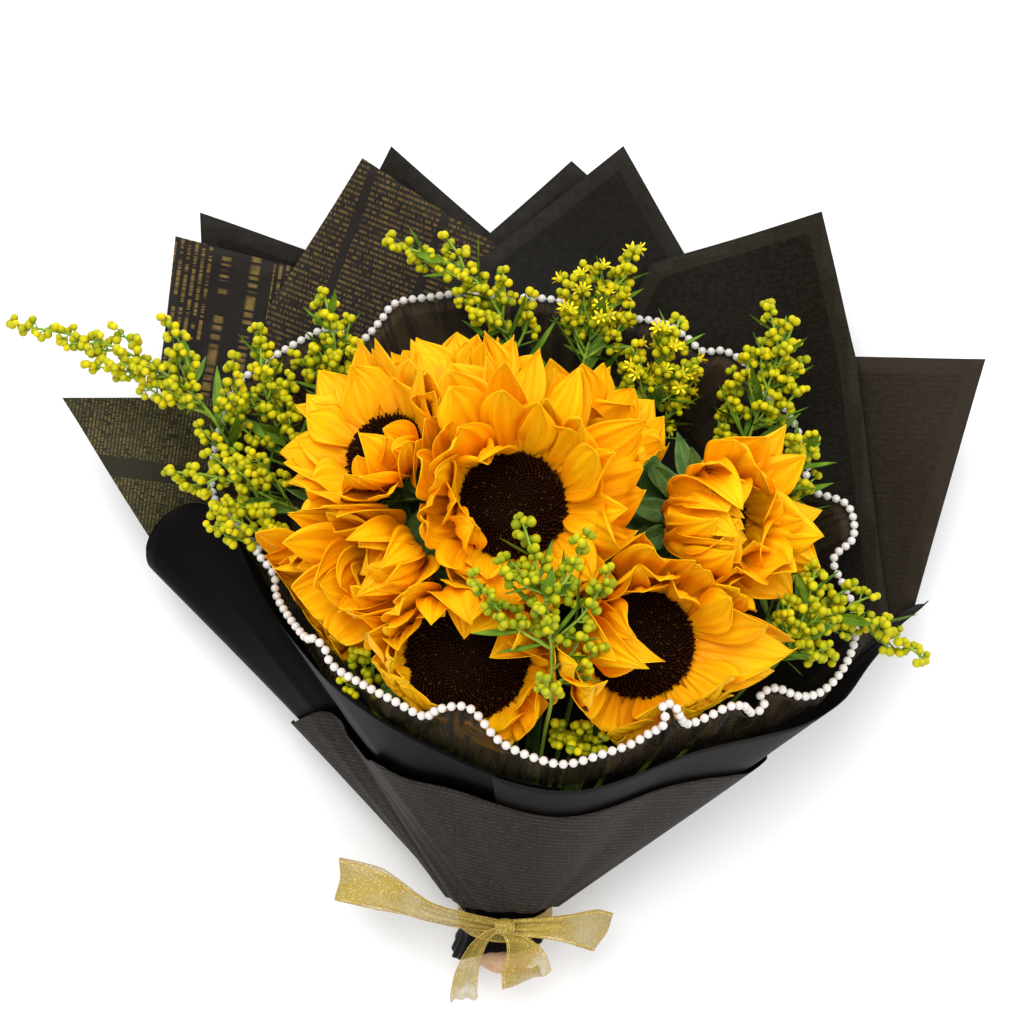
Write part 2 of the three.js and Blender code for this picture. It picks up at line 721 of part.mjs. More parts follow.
// ---------------------------------------------------------------- back sheets
// Seen from above, corners in millimetres; the layer counts up from the lowest sheet.
const BACK_SHEETS = [
  { name: 'e', layer: 0, corners: [[-128, 100], [-69, 209], [40, 117]] },
  { name: 'c', layer: 1, corners: [[-176, 20], [-176, 169], [-30, 122]] },
  { name: 'f', layer: 2, corners: [[-60, 100], [-45, 133], [34, 201], [80, 160], [100, 60]] },
  { name: 'b', layer: 3, corners: [[-186, 2], [-200, 75], [-189, 155], [-60, 125]] },
  { name: 'd', layer: 4, corners: [[-150, 40], [-139, 117], [-85, 201], [10, 142]] },
  { name: 'i', layer: 5, corners: [[60, 80], [186, 88], [260, 84], [218, -40]] },
  { name: 'g', layer: 6, corners: [[-70, 60], [-35, 133], [63, 207], [118, 115], [120, 20]] },
  { name: 'a', layer: 7, corners: [[-199, -22], [-248, 63], [-110, 66]] },
  { name: 'h', layer: 8, corners: [[40, 60], [79, 142], [172, 167], [193, 85], [199, 35],
    [206, -56], [172, -94], [136, -119], [80, -154]] },
];
const ROOT_Y = -194;
const ROOT_HALF_WIDTH = 25;
const LATTICE_X = 52;
const LATTICE_Y = 50;

// How far a place is out from the flat middle, 0 at its edge; the sheets rise with it.
function outwards(x, y) {
  const lengthways = y > 20 ? 120 : 225;
  return Math.max(0, Math.hypot(x / 110, (y - 20) / lengthways) - 1);
}

function backHeight(x, y, layer) {
  const out = outwards(x, y);
  return 30 * out ** 1.7 + layer * (SHEET_PITCH + 1.5 * out);
}

// One lattice serves every layer, so the sheets follow each other without touching.
function layerSlab(layer) {
  const [columns, rows] = [12, 10];
  const grid = [];
  for (let i = 0; i <= rows; i += 1) {
    const y = -230 + i * LATTICE_Y;
    grid.push(Array.from({ length: columns + 1 }, (unused, j) => {
      const x = (j - columns / 2) * LATTICE_X;
      return vec(x, y, backHeight(x, y, layer));
    }));
  }
  const low = sheet(grid, 1e-3);
  const positions = low.attributes.position;
  for (let k = 0; k < positions.count; k += 1) {
    const row = grid[Math.floor((k % (positions.count / 2)) / (columns + 1))];
    const point = row[k % (columns + 1)];
    const top = k < positions.count / 2;
    positions.setXYZ(k, point.x, point.y, point.z + (top ? PAPER_THICKNESS : 0));
  }
  return low;
}

function backSheetOf({ layer, corners }) {
  const outline = [[-ROOT_HALF_WIDTH, ROOT_Y], ...corners, [ROOT_HALF_WIDTH, ROOT_Y]];
  const shape = new THREE.Shape(outline.map(([x, y]) => new THREE.Vector2(x, y)));
  const prism = new THREE.ExtrudeGeometry(shape, { depth: 400, bevelEnabled: false })
    .translate(0, 0, -100);
  return fromSolid(toSolid(layerSlab(layer)).intersect(toSolid(prism)));
}

// ---------------------------------------------------------------- net and pearls
const PEARL_ROOM = 6;         // from the middle of a pearl to the inside of the wrap

// The place on the front of the wrap that is nearest to a point.
function nearestWrap(at, t) {
  let near = { gap: Infinity };
  for (let share = 0.14; share < 0.9; share += 0.01) {
    const { point, normal } = wrapFrame(share, t);
    const gap = point.distanceTo(at);
    if (gap < near.gap) {
      near = { gap, point, normal };
    }
  }
  return near;
}

function insideWrap(at, room) {
  const { gap, point, normal } = nearestWrap(at, 1);
  const depth = at.clone().sub(point).dot(normal);
  if (gap < 30 && depth > -room) {
    at.addScaledVector(normal, -room - depth);
  }
  return at;
}

// The trimmed edge of the net, point by point round the bunch from its top, to the left first.
const PEARL_ROUTE = [
  [0, 122, 28], [-29, 124, 28], [-46, 122, 28], [-67, 118, 28], [-75, 108, 28], [-88, 96, 29],
  [-102, 104, 31], [-121, 96, 33], [-154, 72, 40], [-160, 60, 42], [-168, 24, 46],
  [-166, 8, 52], [-148, -26, 84], [-138, -22, 92], [-128, -34, 98], [-131, -47, 104],
  [-113, -70, 132], [-104, -66, 138], [-98, -70, 141], [-96, -80, 142], [-80, -92, 154],
  [-62, -99, 162], [-47, -108, 168], [-37, -100, 173], [-22, -99, 177], [-6, -116, 178],
  [14, -130, 180], [27, -135, 181], [50, -127, 181], [65, -126, 181], [73, -120, 182],
  [77, -106, 184], [76, -96, 183], [82, -98, 182], [88, -109, 178], [96, -119, 170],
  [106, -113, 166], [112, -102, 162], [121, -103, 156], [128, -111, 148], [132, -102, 144],
  [129, -96, 141], [137, -92, 136], [152, -97, 128], [164, -95, 120], [176, -84, 112],
  [184, -68, 102], [184, -48, 86], [176, -26, 76], [188, -14, 68], [186, 4, 58], [164, 14, 50],
  [166, 28, 46], [153, 58, 42], [139, 68, 38], [133, 82, 36], [120, 91, 34], [108, 91, 31],
  [99, 99, 30], [86, 107, 29], [50, 112, 28], [26, 120, 28],
].map((p) => insideWrap(vec(...p), PEARL_ROOM));
const PEARL_CURVE = curveThrough(PEARL_ROUTE, true);
const PEARLS = 62;
const NET_STEPS = 60;
const NET_GAP = 8;            // from the middle of a pearl to the edge of the net
const NET_INSIDE = 5;         // the net lies this far inside the wrap's front
const OPEN_END = 0.994;       // the string and the net stop just short of where they start

function pearlsOf() {
  const open = curveThrough(Array.from({ length: 241 }, (unused, i) => (
    PEARL_CURVE.getPointAt((i / 240) * OPEN_END))));
  const radii = [];
  for (let k = 0; k < PEARLS; k += 1) {
    radii.push(0.9, PEARL_RADIUS);
  }
  radii.push(0.9);
  return tube(open, radii, 3);
}

// Where the net is tucked in below a place on its edge: on the back sheets, or inside the front.
function netFoot(at) {
  const back = vec(at.x * 0.76, mix(-60, at.y, 0.74), 0);
  back.z = backHeight(back.x, back.y, BACK_SHEETS.length) + 3;
  const { point, normal } = nearestWrap(at, 0.93);
  point.addScaledVector(normal, -NET_INSIDE);
  const front = clamp01((at.z - 62) / 22);
  return back.lerp(point, front);
}

function netOf() {
  const rows = [];
  for (let i = 0; i <= NET_STEPS; i += 1) {
    const at = PEARL_CURVE.getPointAt((i / NET_STEPS) * OPEN_END);
    const foot = netFoot(at);
    const along = PEARL_CURVE.getTangentAt((i / NET_STEPS) * OPEN_END);
    const way = foot.clone().sub(at);
    way.addScaledVector(along, -way.dot(along)).normalize();
    rows.push([at.addScaledVector(way, NET_GAP), foot]);
  }
  return sheet(rows, 0.7);
}

// ---------------------------------------------------------------- foot, wad and ribbon
const FOOT_BORE = BUNDLE_RADIUS + 3.1;
const FOOT_LENGTH = 35;

// Point on the foot of the paper: a tube round the stems that opens out below the tie.
function footPoint(angle, t, grown) {
  const [right, up] = acrossOf(HANDLE_AXIS);
  const left = clamp01(-Math.cos(angle)) ** 2;
  const long = FOOT_LENGTH * mix(0.68, 1, left);
  const opening = t === 1 ? 1.5 + 5 * left + 1.2 * Math.cos(5 * angle) : 0;
  const radius = FOOT_BORE + grown + opening;
  return TIE.clone().addScaledVector(HANDLE_AXIS, -3 + t * long)
    .addScaledVector(right, radius * Math.cos(angle))
    .addScaledVector(up, radius * Math.sin(angle));
}

function footOf() {
  const sides = 20;
  const stations = [0, 0.7, 1];
  const steps = stations.length - 1;
  const positions = [];
  const indices = [];
  const ring = 2 * (steps + 1);
  for (let k = 0; k < sides; k += 1) {
    const angle = (k / sides) * 2 * Math.PI;
    for (let j = 0; j < ring; j += 1) {
      const inner = j > steps;
      const t = stations[inner ? ring - 1 - j : j];
      const at = footPoint(angle, t, inner ? 0 : 1.1);
      positions.push(at.x, at.y, at.z);
    }
  }
  for (let k = 0; k < sides; k += 1) {
    const next = (k + 1) % sides;
    for (let j = 0; j < ring; j += 1) {
      const after = (j + 1) % ring;
      const [a, b] = [k * ring + j, k * ring + after];
      const [c, d] = [next * ring + j, next * ring + after];
      indices.push(a, d, b, a, c, d);
    }
  }
  return meshFrom(positions, indices);
}

function wadOf() {
  const profile = [[0, 0], [15, 0], [18.5, 5], [18.6, 12], [14, 19], [0, 21]];
  const lathe = new THREE.LatheGeometry(profile.map(([x, y]) => new THREE.Vector2(x, y)), 10);
  const start = TIE.clone().addScaledVector(HANDLE_AXIS, STEM_TAIL + 3.4);
  return place(lathe.rotateX(Math.PI / 2), start, HANDLE_AXIS);
}

// A strip of ribbon: points of its middle line, the direction across it at each, its widths.
function ribbonStrip(points, across, widths, steps) {
  const line = curveThrough(points.map((p) => vec(...p)));
  const cross = curveThrough(across.map((p) => vec(...p)));
  const rows = Array.from({ length: steps + 1 }, (unused, i) => {
    const share = i / steps;
    const place = share * (widths.length - 1);
    const before = Math.min(widths.length - 2, Math.floor(place));
    const half = mix(widths[before], widths[before + 1], place - before) / 2;
    const side = cross.getPoint(share).normalize().multiplyScalar(half);
    const at = line.getPoint(share);
    return [at.clone().sub(side), at.add(side)];
  });
  return sheet(rows, RIBBON_THICKNESS);
}

function tieBand() {
  const inner = FOOT_BORE + 1.8;
  const half = 6.5;
  const profile = [[inner, -half], [inner + 1.6, -half], [inner + 1.6, half], [inner, half],
    [inner, -half]].map(([x, y]) => new THREE.Vector2(x, y));
  const ring = new THREE.LatheGeometry(profile, 16).rotateX(Math.PI / 2);
  return place(ring, TIE.clone().addScaledVector(HANDLE_AXIS, 5), HANDLE_AXIS);
}

function ribbonOf() {
  const knotAt = TIE.clone().add(vec(0, -12, 28));
  const knot = new THREE.SphereGeometry(8, 7, 5).scale(1, 0.9, 0.6)
    .translate(knotAt.x, knotAt.y, knotAt.z);
  const k = [knotAt.x, knotAt.y, knotAt.z];
  const full = RIBBON_WIDTH;
  const leftLoop = ribbonStrip(
    [k, [-44, -222, 58], [-74, -210, 60], [-97, -205, 50], [-74, -211, 42], [-44, -224, 48], k],
    [[0, 1, 0.2], [0.1, 1, 0.2], [0.1, 1, 0.1], [0.1, 1, 0], [0.1, 1, 0], [0.1, 1, 0.2],
      [0, 1, 0.2]],
    [7, 10, full - 2, full, full - 2, 10, 7],
    6,
  );
  const rightLoop = ribbonStrip(
    [k, [23, -229, 66], [42, -231, 58], [52, -236, 44], [43, -234, 40], [28, -231, 52], k],
    [[0, 1, 0.2], [0.4, 1, 0.2], [0.5, 1, 0.1], [0.5, 1, 0], [0.5, 1, 0], [0.4, 1, 0.2],
      [0, 1, 0.2]],
    [7, 14, full, full, full, 14, 7],
    5,
  );
  const tail = ribbonStrip(
    [k, [-17, -241, 66], [-22, -259, 52], [-25, -271, 14]],
    [[1, 0.1, 0], [1, 0.15, 0], [1, 0.1, 0], [1, 0, 0]],
    [9, full - 4, full, full],
    5,
  );
  const frontLoop = ribbonStrip(
    [k, [6, -243, 67], [6, -262, 58], [4, -270, 40], [3, -266, 24]],
    [[1, 0, 0], [1, 0, 0], [1, 0.1, 0], [1, 0.1, 0], [1, 0, 0]],
    [9, full, full + 4, full, full],
    5,
  );
  return fuse([tieBand(), knot, leftLoop, rightLoop, tail, frontLoop]);
}

// ---------------------------------------------------------------- the bunch
const group = new THREE.Group();

function add(name, geometry, colour, roughness = 0.7) {
  const material = new THREE.MeshStandardMaterial({ color: colour, roughness, metalness: 0 });
  const mesh = new THREE.Mesh(geometry, material);
  mesh.name = name;
  group.add(mesh);
}

BLOOMS.forEach((bloom, i) => {
  add(`petals_${bloom.name}`, petalsOf(bloom, i + 1), COLOURS.petal, 0.6);
  add(`disc_${bloom.name}`, discOf(bloom), COLOURS.disc, 0.95);
  add(`green_${bloom.name}`, greenOf(bloom, slots[i], i + 1), COLOURS.green);
});
SPRAYS.forEach((spray, i) => {
  add(`spray_${spray.name}`, sprayOf(spray, slots[BLOOMS.length + i], i + 1), COLOURS.spray);
});
for (const back of BACK_SHEETS) {
  add(`paper_back_${back.name}`, backSheetOf(back), COLOURS.paper, 0.6);
}
for (const front of FRONT_SHEETS) {
  add(front.name, wrapSheet(front), COLOURS.paper, 0.6);
}
add('net_ruffle', netOf(), COLOURS.net, 0.8);
add('pearl_string', pearlsOf(), COLOURS.pearl, 0.25);
add('paper_foot', footOf(), COLOURS.paper, 0.6);
add('stem_wad', wadOf(), COLOURS.wad, 0.9);
add('ribbon', ribbonOf(), COLOURS.ribbon, 0.4);

export default group;
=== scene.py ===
"""Dresses a bunch of sunflowers and goldenrod that lies on its back in its dark wrapping paper.

The shapes below follow the same rules as the solids: each bloom, spray and sheet is worked out
from its own few named values. Lengths are millimetres until a mesh is made, which is in metres.
"""
import math
import random

import bmesh
import bpy
import numpy as np
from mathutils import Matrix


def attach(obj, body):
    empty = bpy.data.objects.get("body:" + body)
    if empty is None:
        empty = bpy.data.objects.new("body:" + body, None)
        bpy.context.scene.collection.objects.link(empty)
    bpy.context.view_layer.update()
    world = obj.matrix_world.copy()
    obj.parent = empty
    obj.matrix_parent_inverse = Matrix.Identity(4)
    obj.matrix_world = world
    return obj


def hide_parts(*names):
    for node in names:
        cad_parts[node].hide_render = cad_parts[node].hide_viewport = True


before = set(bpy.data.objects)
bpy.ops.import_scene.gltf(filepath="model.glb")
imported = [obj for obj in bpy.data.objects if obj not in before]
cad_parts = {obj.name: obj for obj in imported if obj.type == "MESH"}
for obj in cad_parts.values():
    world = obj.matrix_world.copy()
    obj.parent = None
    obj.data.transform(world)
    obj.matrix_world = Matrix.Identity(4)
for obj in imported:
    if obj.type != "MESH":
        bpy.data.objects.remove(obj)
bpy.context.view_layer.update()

MM = 0.001

# ---------------------------------------------------------------- driving dimensions
PLATE_LIP = 3.5
PETAL_LENGTH = 52.0
PETAL_WIDTH = 29.0
PETAL_THICKNESS = 0.35
STEM_RADIUS = 3.4
SPRAY_STEM_RADIUS = 1.5
BUD_RADIUS = 2.6
PAPER_THICKNESS = 0.35
SHEET_PITCH = 1.6
PEARL_RADIUS = 2.35
PEARL_PITCH = 5.15
RIBBON_WIDTH = 24.0
RIBBON_THICKNESS = 0.25
BUNDLE_RADIUS = 20.5
TIE = np.array([-4.0, -219.0, 38.0])
CAMERA_HEIGHT = 1400.0
CAMERA_LENS = 85.0


def unit(vector):
    return vector / np.linalg.norm(vector)


HANDLE_AXIS = unit(np.array([0.0, -0.94, -0.34]))    # from the tie to the stem ends
HEAD_AXIS = unit(np.array([0.02, 0.89, 0.455]))      # from the tie to the blooms
GOLDEN_ANGLE = math.radians(137.5)


def mix(low, high, share):
    return low + (high - low) * share


def clamp01(value):
    return np.clip(value, 0.0, 1.0)


def across_of(direction):
    """Two unit vectors across a direction, the first as near to +X as it can lie."""
    first = np.array([1.0, 0.0, 0.0]) - direction[0] * direction
    if np.linalg.norm(first) < 0.3:
        first = np.array([0.0, 1.0, 0.0]) - direction[1] * direction
    first = unit(first)
    return first, np.cross(direction, first)


def spoke(first, second, turn):
    """The direction at a turn from the first vector towards the second."""
    return first * math.cos(turn) + second * math.sin(turn)


def circle(first, second, sides):
    """Points round a unit circle, from the first vector towards the second."""
    angles = np.arange(sides) * 2 * math.pi / sides
    return np.outer(np.cos(angles), first) + np.outer(np.sin(angles), second)


class Line:
    """A smooth curve through points, read by share of its knots or of its length."""

    def __init__(self, points, closed=False):
        self.points = [np.array(point, float) for point in points]
        self.closed = closed
        self.dense = None

    def at(self, share):
        points = self.points
        count = len(points)
        place = (count if self.closed else count - 1) * share
        start = int(math.floor(place))
        weight = place - start
        if not self.closed and start >= count - 1:
            start, weight = count - 2, 1.0
        if self.closed:
            knots = [points[(start + k) % count] for k in (-1, 0, 1, 2)]
        else:
            inner = points[start:start + 2]
            before = points[start - 1] if start > 0 else 2 * points[0] - points[1]
            after = points[start + 2] if start + 2 < count else 2 * points[-1] - points[-2]
            knots = [before, *inner, after]
        return centripetal(knots, weight)

    def measured(self):
        if self.dense is None:
            steps = 14 * len(self.points)
            path = np.array([self.at(i / steps) for i in range(steps + 1)])
            lengths = np.linalg.norm(np.diff(path, axis=0), axis=1)
            self.dense = path, np.concatenate([[0.0], np.cumsum(lengths)])
        return self.dense

    def length(self):
        return self.measured()[1][-1]

    def spaced(self, shares):
        """Points at shares of the length."""
        path, lengths = self.measured()
        places = np.asarray(shares) * lengths[-1]
        return np.stack([np.interp(places, lengths, path[:, k]) for k in range(3)], axis=-1)

    def heading(self, share):
        before, after = self.spaced([max(0.0, share - 0.004), min(1.0, share + 0.004)])
        return unit(after - before)


def centripetal(knots, weight):
    """A point between the two middle knots of four, on a curve without loops."""
    gaps = [math.sqrt(np.linalg.norm(b - a)) for a, b in zip(knots, knots[1:])]
    middle = gaps[1] if gaps[1] > 1e-4 else 1.0
    first = gaps[0] if gaps[0] > 1e-4 else middle
    last = gaps[2] if gaps[2] > 1e-4 else middle
    a, b, c, d = knots
    leave = ((b - a) / first - (c - a) / (first + middle) + (c - b) / middle) * middle
    reach = ((c - b) / middle - (d - b) / (middle + last) + (d - c) / last) * middle
    square = -3 * b + 3 * c - 2 * leave - reach
    cube = 2 * b - 2 * c + leave + reach
    return b + leave * weight + square * weight ** 2 + cube * weight ** 3


# ---------------------------------------------------------------- meshes
def placed(name, data):
    """A new object that holds the data, linked to the scene."""
    thing = bpy.data.objects.new(name, data)
    bpy.context.scene.collection.objects.link(thing)
    return thing


def keep(mesh, name, values, kind="FLOAT"):
    """Stores a number or a vector for each point of a mesh."""
    attribute = mesh.attributes.new(name, kind, "POINT")
    key = "vector" if kind == "FLOAT_VECTOR" else "value"
    attribute.data.foreach_set(key, np.ravel(np.array(values, float)))


class Shape:
    """Gathers grids and tubes in millimetres and makes one mesh of them in metres."""

    def __init__(self):
        self.points = []
        self.faces = []
        self.uvs = []
        self.tones = []
        self.slots = []

    def grid(self, rows, tone=0.5, slot=0, wrapped=False):
        """Faces over an array of points, (rows, columns, 3); uv runs 0 to 1 each way."""
        count, width = rows.shape[:2]
        start = len(self.points)
        self.points.extend(rows.reshape(-1, 3))
        self.tones.extend([tone] * (count * width))
        columns = width if wrapped else width - 1
        for i in range(count - 1):
            for j in range(columns):
                k = (j + 1) % width
                self.faces.append([start + i * width + j, start + i * width + k,
                                   start + (i + 1) * width + k, start + (i + 1) * width + j])
                u, v = j / columns, i / (count - 1)
                over, up = (j + 1) / columns, (i + 1) / (count - 1)
                self.uvs.extend([(u, v), (over, v), (over, up), (u, up)])
                self.slots.append(slot)

    def cap(self, ring, tone=0.5, slot=0):
        """One face over a ring of points."""
        start = len(self.points)
        self.points.extend(ring)
        self.tones.extend([tone] * len(ring))
        self.faces.append(list(range(start, start + len(ring))))
        self.uvs.extend([(0.5, 0.5)] * len(ring))
        self.slots.append(slot)

    def tube(self, path, radii, sides=6, tone=0.5, slot=0):
        """A closed round tube along an array of points."""
        rings = tube_rings(path, radii, sides)
        self.grid(rings, tone, slot, wrapped=True)
        self.cap(rings[0][::-1], tone, slot)
        self.cap(rings[-1], tone, slot)

    def mesh(self, name, finishes):
        mesh = bpy.data.meshes.new(name)
        mesh.from_pydata((np.array(self.points) * MM).tolist(), [], self.faces)
        mesh.uv_layers.new(name="UVMap").data.foreach_set("uv", np.ravel(self.uvs))
        keep(mesh, "tone", self.tones)
        for finish in finishes:
            mesh.materials.append(finish)
        mesh.polygons.foreach_set("material_index", self.slots)
        mesh.polygons.foreach_set("use_smooth", [True] * len(self.faces))
        weld(mesh)
        return mesh

    def piece(self, name, finishes):
        return placed(name, self.mesh(name, finishes))


def weld(mesh, closer_than=0.02):
    """Merges points of a mesh that are nearer to each other than so many mm."""
    work = bmesh.new()
    work.from_mesh(mesh)
    bmesh.ops.remove_doubles(work, verts=work.verts, dist=closer_than * MM)
    work.to_mesh(mesh)
    work.free()


def tube_rings(path, radii, sides):
    """Rings of points along a path, turned as little as can be from one to the next."""
    path = np.asarray(path, float)
    last = len(path) - 1
    side = None
    rings = []
    for i, point in enumerate(path):
        direction = unit(path[min(last, i + 1)] - path[max(0, i - 1)])
        if side is None:
            side = across_of(direction)[0]
        side = unit(side - direction * side.dot(direction))
        other = np.cross(direction, side)
        rings.append(point + radii[i] * circle(side, other, sides))
    return np.array(rings)


def thicken(piece, thickness):
    wall = piece.modifiers.new("Thickness", "SOLIDIFY")
    wall.thickness = thickness * MM
    wall.offset = 0.0
    return piece


def dress(piece, node):
    """Hangs a finished piece on the root body and hides the node that it stands for."""
    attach(piece, "root")
    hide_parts(node)
    return piece


# ---------------------------------------------------------------- repeats by geometry nodes
class Tree:
    """A geometry node tree that sets one small shape on every point of a mesh or path."""

    def __init__(self, name):
        self.tree = bpy.data.node_groups.new(name, "GeometryNodeTree")
        self.tree.is_modifier = True
        self.socket("Geometry", "NodeSocketGeometry")
        self.tree.interface.new_socket("Geometry", in_out="OUTPUT",
                                       socket_type="NodeSocketGeometry")
        self.start = self.tree.nodes.new("NodeGroupInput")
        self.end = self.tree.nodes.new("NodeGroupOutput")

    def socket(self, name, kind):
        return self.tree.interface.new_socket(name, in_out="INPUT", socket_type=kind)

    def size(self, name):
        """A named length input; returns the socket that gives it."""
        self.socket(name, "NodeSocketFloat")
        return self.start.outputs[name]

    def node(self, kind, **settings):
        node = self.tree.nodes.new(kind)
        for key, value in settings.items():
            setattr(node, key, value)
        return node

    def link(self, source, target):
        self.tree.links.new(source, target)

    def stored(self, name, kind="FLOAT"):
        node = self.node("GeometryNodeInputNamedAttribute", data_type=kind)
        node.inputs["Name"].default_value = name
        return node.outputs["Attribute"]

    def math(self, operation, first, second):
        """first is a socket, second a socket or a number."""
        node = self.node("ShaderNodeMath", operation=operation)
        self.link(first, node.inputs[0])
        if isinstance(second, float):
            node.inputs[1].default_value = second
        else:
            self.link(second, node.inputs[1])
        return node.outputs[0]

    def with_tip(self, shape, tip):
        """The small shape with how near each point is to its tip kept on it."""
        store = self.node("GeometryNodeStoreNamedAttribute", data_type="FLOAT", domain="POINT")
        store.inputs["Name"].default_value = "tip"
        self.link(shape, store.inputs["Geometry"])
        self.link(tip, store.inputs["Value"])
        return store.outputs["Geometry"]

    def set_on_points(self, points, shape, finish, turned=True):
        """Instances the shape on the points, by the attributes lean and size, and realizes it."""
        place = self.node("GeometryNodeInstanceOnPoints")
        self.link(points, place.inputs["Points"])
        self.link(shape, place.inputs["Instance"])
        if turned:
            align = self.node("FunctionNodeAlignRotationToVector", axis="Z")
            self.link(self.stored("lean", "FLOAT_VECTOR"), align.inputs["Vector"])
            self.link(align.outputs["Rotation"], place.inputs["Rotation"])
            self.link(self.stored("size"), place.inputs["Scale"])
        real = self.node("GeometryNodeRealizeInstances")
        smooth = self.node("GeometryNodeSetShadeSmooth")
        paint = self.node("GeometryNodeSetMaterial")
        paint.inputs["Material"].default_value = finish
        self.link(place.outputs["Instances"], real.inputs["Geometry"])
        self.link(real.outputs["Geometry"], smooth.inputs["Geometry"])
        self.link(smooth.outputs["Geometry"], paint.inputs["Geometry"])
        self.link(paint.outputs["Geometry"], self.end.inputs["Geometry"])

    def grow(self, piece, sizes):
        """Runs the tree on a piece and returns the plain mesh that comes out."""
        modifier = piece.modifiers.new(self.tree.name, "NODES")
        modifier.node_group = self.tree
        for item in self.tree.interface.items_tree:
            if item.in_out == "INPUT" and item.name in sizes:
                modifier[item.identifier] = sizes[item.name]
        scene_graph = bpy.context.evaluated_depsgraph_get()
        scene_graph.update()
        grown = bpy.data.meshes.new_from_object(piece.evaluated_get(scene_graph))
        piece.modifiers.remove(modifier)
        return grown


def point_piece(name, points, leans, sizes, **values):
    """A mesh of bare points with the attributes that a tree reads."""
    mesh = bpy.data.meshes.new(name)
    mesh.from_pydata((np.array(points) * MM).tolist(), [], [])
    keep(mesh, "lean", leans, "FLOAT_VECTOR")
    keep(mesh, "size", sizes)
    for key, numbers in values.items():
        keep(mesh, key, numbers)
    return placed(name, mesh)


def join(pieces):
    """Joins pieces into the first one."""
    bpy.ops.object.select_all(action="DESELECT")
    for piece in pieces:
        piece.select_set(True)
    bpy.context.view_layer.objects.active = pieces[0]
    bpy.ops.object.join()
    return pieces[0]


# ---------------------------------------------------------------- finishes
class Paint:
    """A procedural material, put together node by node."""

    def __init__(self, name, **constants):
        self.material = bpy.data.materials.new(name)
        self.material.use_nodes = True
        self.tree = self.material.node_tree
        self.shader = self.tree.nodes["Principled BSDF"]
        for key, value in constants.items():
            self.shader.inputs[key.replace("_", " ")].default_value = value

    def node(self, kind, inputs=None, **settings):
        node = self.tree.nodes.new(kind)
        for key, value in settings.items():
            setattr(node, key, value)
        for key, value in (inputs or {}).items():
            if isinstance(value, bpy.types.NodeSocket):
                self.tree.links.new(value, node.inputs[key])
            else:
                node.inputs[key].default_value = value
        return node

    def math(self, operation, a, b=0.0, clamp=False):
        node = self.node("ShaderNodeMath", {0: a, 1: b}, operation=operation)
        node.use_clamp = clamp
        return node.outputs[0]

    def times(self, a, b):
        return self.math("MULTIPLY", a, b)

    def plus(self, a, b):
        return self.math("ADD", a, b)

    def larger(self, a, b):
        return self.math("MAXIMUM", a, b)

    def wave(self, value, turns):
        """The sine of a value times a number of radians."""
        return self.math("SINE", self.times(value, turns))

    def off(self, value, middle):
        """How far a value is from a middle one, either way."""
        return self.math("ABSOLUTE", self.math("SUBTRACT", value, middle))

    def vector(self, x, y, z=0.0):
        return self.node("ShaderNodeCombineXYZ", {0: x, 1: y, 2: z}).outputs[0]

    def place(self):
        return self.node("ShaderNodeTexCoord").outputs["Object"]

    def turned_mm(self, turn):
        """Millimetres along and across a direction over the piece."""
        inputs = {"Vector": self.place(), "Scale": (1 / MM, 1 / MM, 1 / MM),
                  "Rotation": (0, 0, turn)}
        turned = self.node("ShaderNodeMapping", inputs).outputs[0]
        return self.node("ShaderNodeSeparateXYZ", {0: turned}).outputs[:2]

    def uv(self):
        coordinates = self.node("ShaderNodeUVMap", uv_map="UVMap").outputs[0]
        return self.node("ShaderNodeSeparateXYZ", {0: coordinates}).outputs[:2]

    def stored(self, name):
        return self.node("ShaderNodeAttribute", attribute_name=name).outputs["Fac"]

    def noise(self, vector, scale, detail=3.0, roughness=0.55):
        inputs = {"Vector": vector, "Scale": scale, "Detail": detail, "Roughness": roughness}
        return self.node("ShaderNodeTexNoise", inputs).outputs["Fac"]

    def specks(self, scale, detail=3.0, roughness=0.55):
        """Noise over the piece; scale is in spots to a metre."""
        return self.noise(self.place(), scale, detail, roughness)

    def ramp(self, value, *stops):
        node = self.node("ShaderNodeValToRGB", {"Fac": value})
        elements = node.color_ramp.elements
        while len(elements) < len(stops):
            elements.new(1.0)
        for element, (at, colour) in zip(elements, stops):
            element.position = at
            element.color = (*colour, 1.0)
        return node.outputs["Color"]

    def blend(self, share, low, high, how="MIX"):
        node = self.node("ShaderNodeMix", data_type="RGBA", blend_type=how)
        for index, value in ((0, share), (6, low), (7, high)):
            if isinstance(value, bpy.types.NodeSocket):
                self.tree.links.new(value, node.inputs[index])
            elif isinstance(value, tuple):
                node.inputs[index].default_value = (*value, 1.0)
            else:
                node.inputs[index].default_value = value
        return node.outputs[2]

    def range(self, value, low, high, to_low=0.0, to_high=1.0):
        inputs = {"Value": value, "From Min": low, "From Max": high, "To Min": to_low,
                  "To Max": to_high}
        return self.node("ShaderNodeMapRange", inputs).outputs["Result"]

    def bump(self, height, strength, distance):
        inputs = {"Height": height, "Strength": strength, "Distance": distance * MM}
        bump = self.node("ShaderNodeBump", inputs)
        self.tree.links.new(bump.outputs["Normal"], self.shader.inputs["Normal"])

    def set(self, **sockets):
        for key, socket in sockets.items():
            self.tree.links.new(socket, self.shader.inputs[key.replace("_", " ")])
        return self


